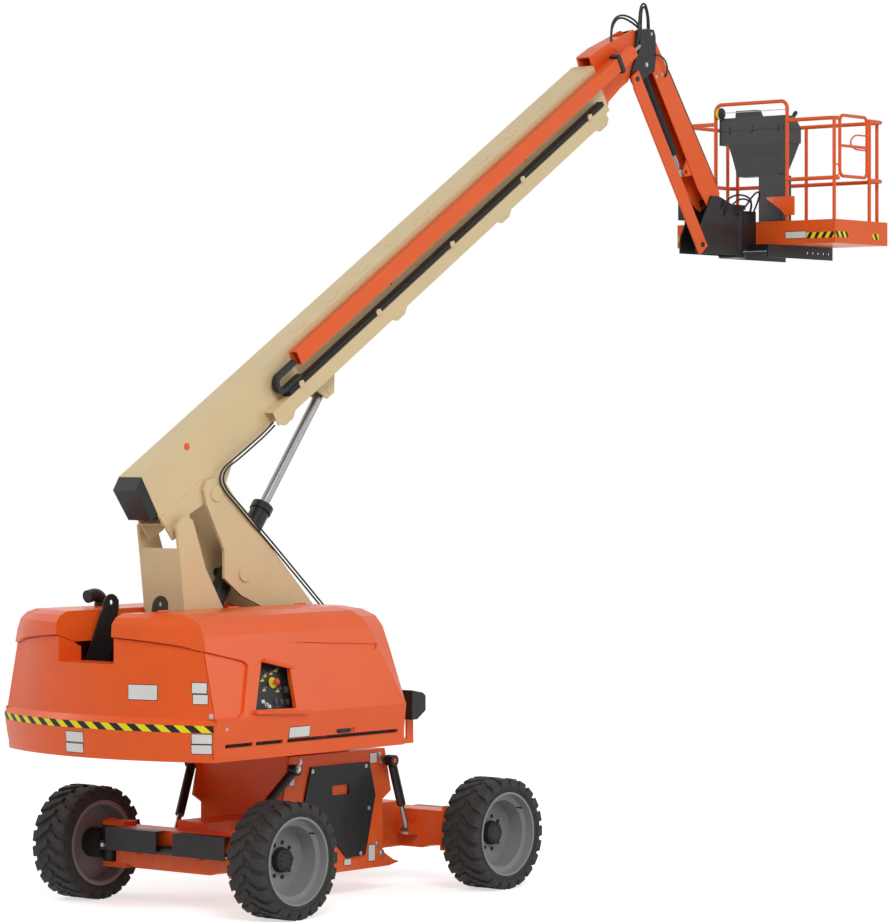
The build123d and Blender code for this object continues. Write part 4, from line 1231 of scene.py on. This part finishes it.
class LIFT_OT_boom_trim(bpy.types.Operator):
    """Fit the hose tray's trim, the boom's plugs, beads and mouth strip, and the jib's guard"""

    bl_idname = "lift.boom_trim"
    bl_label = "Boom trim"

    def execute(self, context):
        frame = side_frame(BOOM_FOOT, BOOM_ANGLE)
        turn = frame.to_3x3()
        along = turn @ Vector((1, 0, 0))
        self.tray(frame, along)
        beads = Form()
        steps = [math.pi * (0.12 + 0.76 * step / 13) for step in range(15)]
        arc = [frame @ Vector((2.3 + 0.09 * math.cos(a), 0.0012, 0.09 * math.sin(a) - 0.02)) for a in steps]
        for here, there in zip(arc, arc[1:]):
            beads.rod(here, there, 0.004, 8)
        repeated("boom_top_beads", "base_section", beads, 9, along * 0.47, "cream")
        plugs = Form()
        for reach, high, size in ((0.56, -0.07, 0.030), (5.55, -0.235, 0.016), (3.4, -0.235, 0.016)):
            spot = seat("base_boom", frame @ Vector((reach, high, 0.6)), turn @ Vector((0, 0, -1)))
            plug = [(0, -0.001), (size, -0.001), (size, 0.003), (size * 0.8, 0.006), (0, 0.007)]
            plugs.turned(plug, frame_at(*spot))
        plugs.piece("boom_plugs", "base_section", "orange")
        mouth = Form()
        mouth.slab(box_outline(6.835, 6.866, -0.001, 0.006), -0.1, 0.1, frame, 0.001)
        mouth.piece("boom_mouth_strip", "base_section", "cream")
        collar = Form()
        collar.slab(box_outline(7.09, 7.14, -0.200, -0.025), 0.140, 0.238, frame, 0.004)
        collar.piece("carrier_collar", "fly_section", "black_plastic")
        start, end = frame @ Vector((7.383, -0.135, 0.185)), frame @ Vector((7.54, -0.150, 0.150))
        Form().rod(start, end, 0.017).piece("levelling_rod_end", "fly_section", "chrome_rod")
        self.jib()
        return {"FINISHED"}

    def tray(self, frame, along):
        """The hoses on the near face of the tray's bundle, with their clips, and the tray's feet."""
        hoses = Form()
        for high in (-0.286, -0.306):
            start, end = (frame @ Vector((reach, high, 0.2225)) for reach in (1.73, 6.695))
            hoses.rod(start, end, 0.009, 14)
        hoses.piece("tray_hoses", "base_section", "hose_black")
        clip, feet = Form(), Form()
        outline = [
            (1.86, -0.330), (1.92, -0.330), (1.92, -0.282), (1.90, -0.277), (1.88, -0.277), (1.86, -0.282),
        ]
        clip.slab(outline, 0.214, 0.236, frame, 0.003)
        repeated("tray_clips", "base_section", clip, 5, along * 1.14, "cream")
        outline = [(1.50, -0.449), (1.72, -0.449), (1.66, -0.490), (1.55, -0.490)]
        feet.slab(outline, 0.20, 0.2235, frame, 0.002)
        repeated("tray_feet", "base_section", feet, 4, along * 1.66, "cream")

    def jib(self):
        """The guard strip along the jib's top."""
        strip = Form()
        outline = [
            (0.40, 0.080), (1.72, 0.133), (1.72, 0.172), (1.70, 0.178), (0.44, 0.132), (0.40, 0.120),
        ]
        strip.slab(outline, -0.052, 0.052, side_frame(JIB_TOP, JIB_ANGLE), 0.006)
        strip.piece("jib_guard", "jib_beam", "black_plastic")


class LIFT_OT_hood_trim(bpy.types.Operator):
    """Fit the slats in the hoods' vents and the latches"""

    bl_idname = "lift.hood_trim"
    bl_label = "Hood trim"

    def execute(self, context):
        for side, node, body in ((-1, "hood_right", "right_hood"), (1, "hood_left", "left_hood")):
            slats = Form()
            frame = frame_at((0, 0, 0), (0, side, 0))
            for vent in ((-2.0, -1.72), (-1.65, -1.375), (-1.29, 0.0)):
                low, high = sorted(-side * x for x in vent)
                for height in (1.3835, 1.3965):
                    slats.slab(box_outline(low, high, height - 0.002, height + 0.002), 1.100, 1.122, frame)
            slats.piece(f"vent_slats_{body}", body, "black_plastic")
            latch = frame_at(*seat(node, (-0.632, side * 2, 1.427), (0, -side, 0)))
            handle = Form()
            handle.slab(box_outline(-0.085, 0.085, -0.014, 0.014, 0.006), -0.002, 0.006, latch, 0.002)
            handle.slab(box_outline(-0.060, 0.030, -0.009, 0.009, 0.004), 0.005, 0.013, latch, 0.003)
            lock = [(0, 0.005), (0.010, 0.005), (0.010, 0.010), (0, 0.011)]
            handle.turned(lock, latch @ Matrix.Translation((0.055, 0, 0)))
            handle.piece(f"hood_latch_{body}", body, "black_plastic")
        return {"FINISHED"}


class LIFT_OT_platform_trim(bpy.types.Operator):
    """Fit the platform's mesh deck, foot switch, handles, box, guard and wire reel"""

    bl_idname = "lift.platform_trim"
    bl_label = "Platform trim"

    def execute(self, context):
        low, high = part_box("platform_floor")
        floor = low.z + 0.030
        bar = Form()
        across = frame_at((0, -0.90, floor - 0.0005), (0, 0, 1))
        bar.slab(box_outline(low.x + 0.02, high.x - 0.02, -0.002, 0.002), 0, 0.0055, across)
        repeated("deck_bars", "platform", bar, 46, (0.0, 0.04, 0.0), "orange")
        pedal = Form()
        deck = frame_at((6.98, 0.02, floor + 0.006), (0, 0, 1), (1, 0, 0))
        pedal.slab(box_outline(-0.09, 0.09, -0.13, 0.13, 0.02), 0, 0.02, deck, 0.003)
        pedal.slab(box_outline(-0.07, 0.07, -0.11, 0.05, 0.01), 0.02, 0.055, deck, 0.006)
        pedal.piece("foot_switch", "platform", "black_plastic")
        grip = (
            (7.20, 6.60), (7.16, 6.60), (7.00, 6.60), (6.92, 6.52), (7.00, 6.46), (7.16, 6.46), (7.20, 6.46),
        )
        handle = Form().pipe([(x, GATE_LINE, z) for x, z in grip], 0.008)
        handle.piece("gate_handle", "gate", "orange")
        turns = [math.radians(angle) for angle in range(-80, 261, 20)]
        circle = [(6.70 + 0.055 * math.cos(a), GATE_LINE, 6.255 + 0.055 * math.sin(a)) for a in turns]
        Form().pipe(circle, 0.007).piece("lanyard_ring", "platform", "orange")
        guard = Form()
        guard.slab(
            [(-0.45, 5.84), (-0.34, 5.84), (-0.29, 5.90), (-0.13, 6.0), (-0.13, 6.02), (-0.45, 6.02)],
            6.634, 6.642, frame_at((0, 0, 0), (1, 0, 0)), 0.002,
        )
        guard.piece("rail_guard", "platform", "orange")
        box = Form()
        rear = frame_at((0, 0, 0), (-1, 0, 0))
        box.slab(box_outline(-0.86, -0.56, 5.83, 6.10), -6.640, -6.560, rear, 0.008)
        box.piece("document_box", "platform", "black_plastic")
        hub = frame_at((6.66, 0.43, 6.845), (0, 1, 0))
        reel = [(0, -0.03), (0.05, -0.03), (0.055, -0.024), (0.055, 0.024), (0.05, 0.03), (0, 0.03)]
        Form().turned(reel, hub).piece("wire_reel", "platform", "black_plastic")
        band = [(0.0545, -0.016), (0.0565, -0.016), (0.0565, 0.016), (0.0545, 0.016)]
        Form().turned(band, hub, closed=True).piece("wire_reel_band", "platform", "yellow_plate")
        return {"FINISHED"}


OPERATORS = (
    LIFT_OT_finishes, LIFT_OT_stage, LIFT_OT_hoses, LIFT_OT_tyres, LIFT_OT_stripes, LIFT_OT_plates,
    LIFT_OT_ground_panel, LIFT_OT_console, LIFT_OT_boom_trim, LIFT_OT_hood_trim, LIFT_OT_platform_trim,
)


class LIFT_PT_panel(bpy.types.Panel):
    """Lists the steps that dress the lift"""

    bl_label = "Boom Lift"
    bl_space_type = "VIEW_3D"
    bl_region_type = "UI"
    bl_category = "Boom Lift"

    def draw(self, context):
        for step in OPERATORS:
            self.layout.operator(step.bl_idname)
        for group in ("lift_paint", "lift_tyres", "lift_studio"):
            settings = getattr(context.scene, group)
            for name in settings.bl_rna.properties.keys():
                if name not in ("rna_type", "name"):
                    self.layout.prop(settings, name)


CLASSES = (PaintSettings, TyreSettings, StudioSettings, *OPERATORS, LIFT_PT_panel)


def register():
    for kind in CLASSES:
        bpy.utils.register_class(kind)
    bpy.types.Scene.lift_paint = PointerProperty(type=PaintSettings)
    bpy.types.Scene.lift_tyres = PointerProperty(type=TyreSettings)
    bpy.types.Scene.lift_studio = PointerProperty(type=StudioSettings)


def unregister():
    del bpy.types.Scene.lift_studio
    del bpy.types.Scene.lift_tyres
    del bpy.types.Scene.lift_paint
    for kind in reversed(CLASSES):
        bpy.utils.unregister_class(kind)


def main():
    """Dresses the lift, one step after another."""
    register()
    for step in OPERATORS:
        group, name = step.bl_idname.split(".")
        getattr(getattr(bpy.ops, group), name)()


if __name__ == "__main__":
    main()
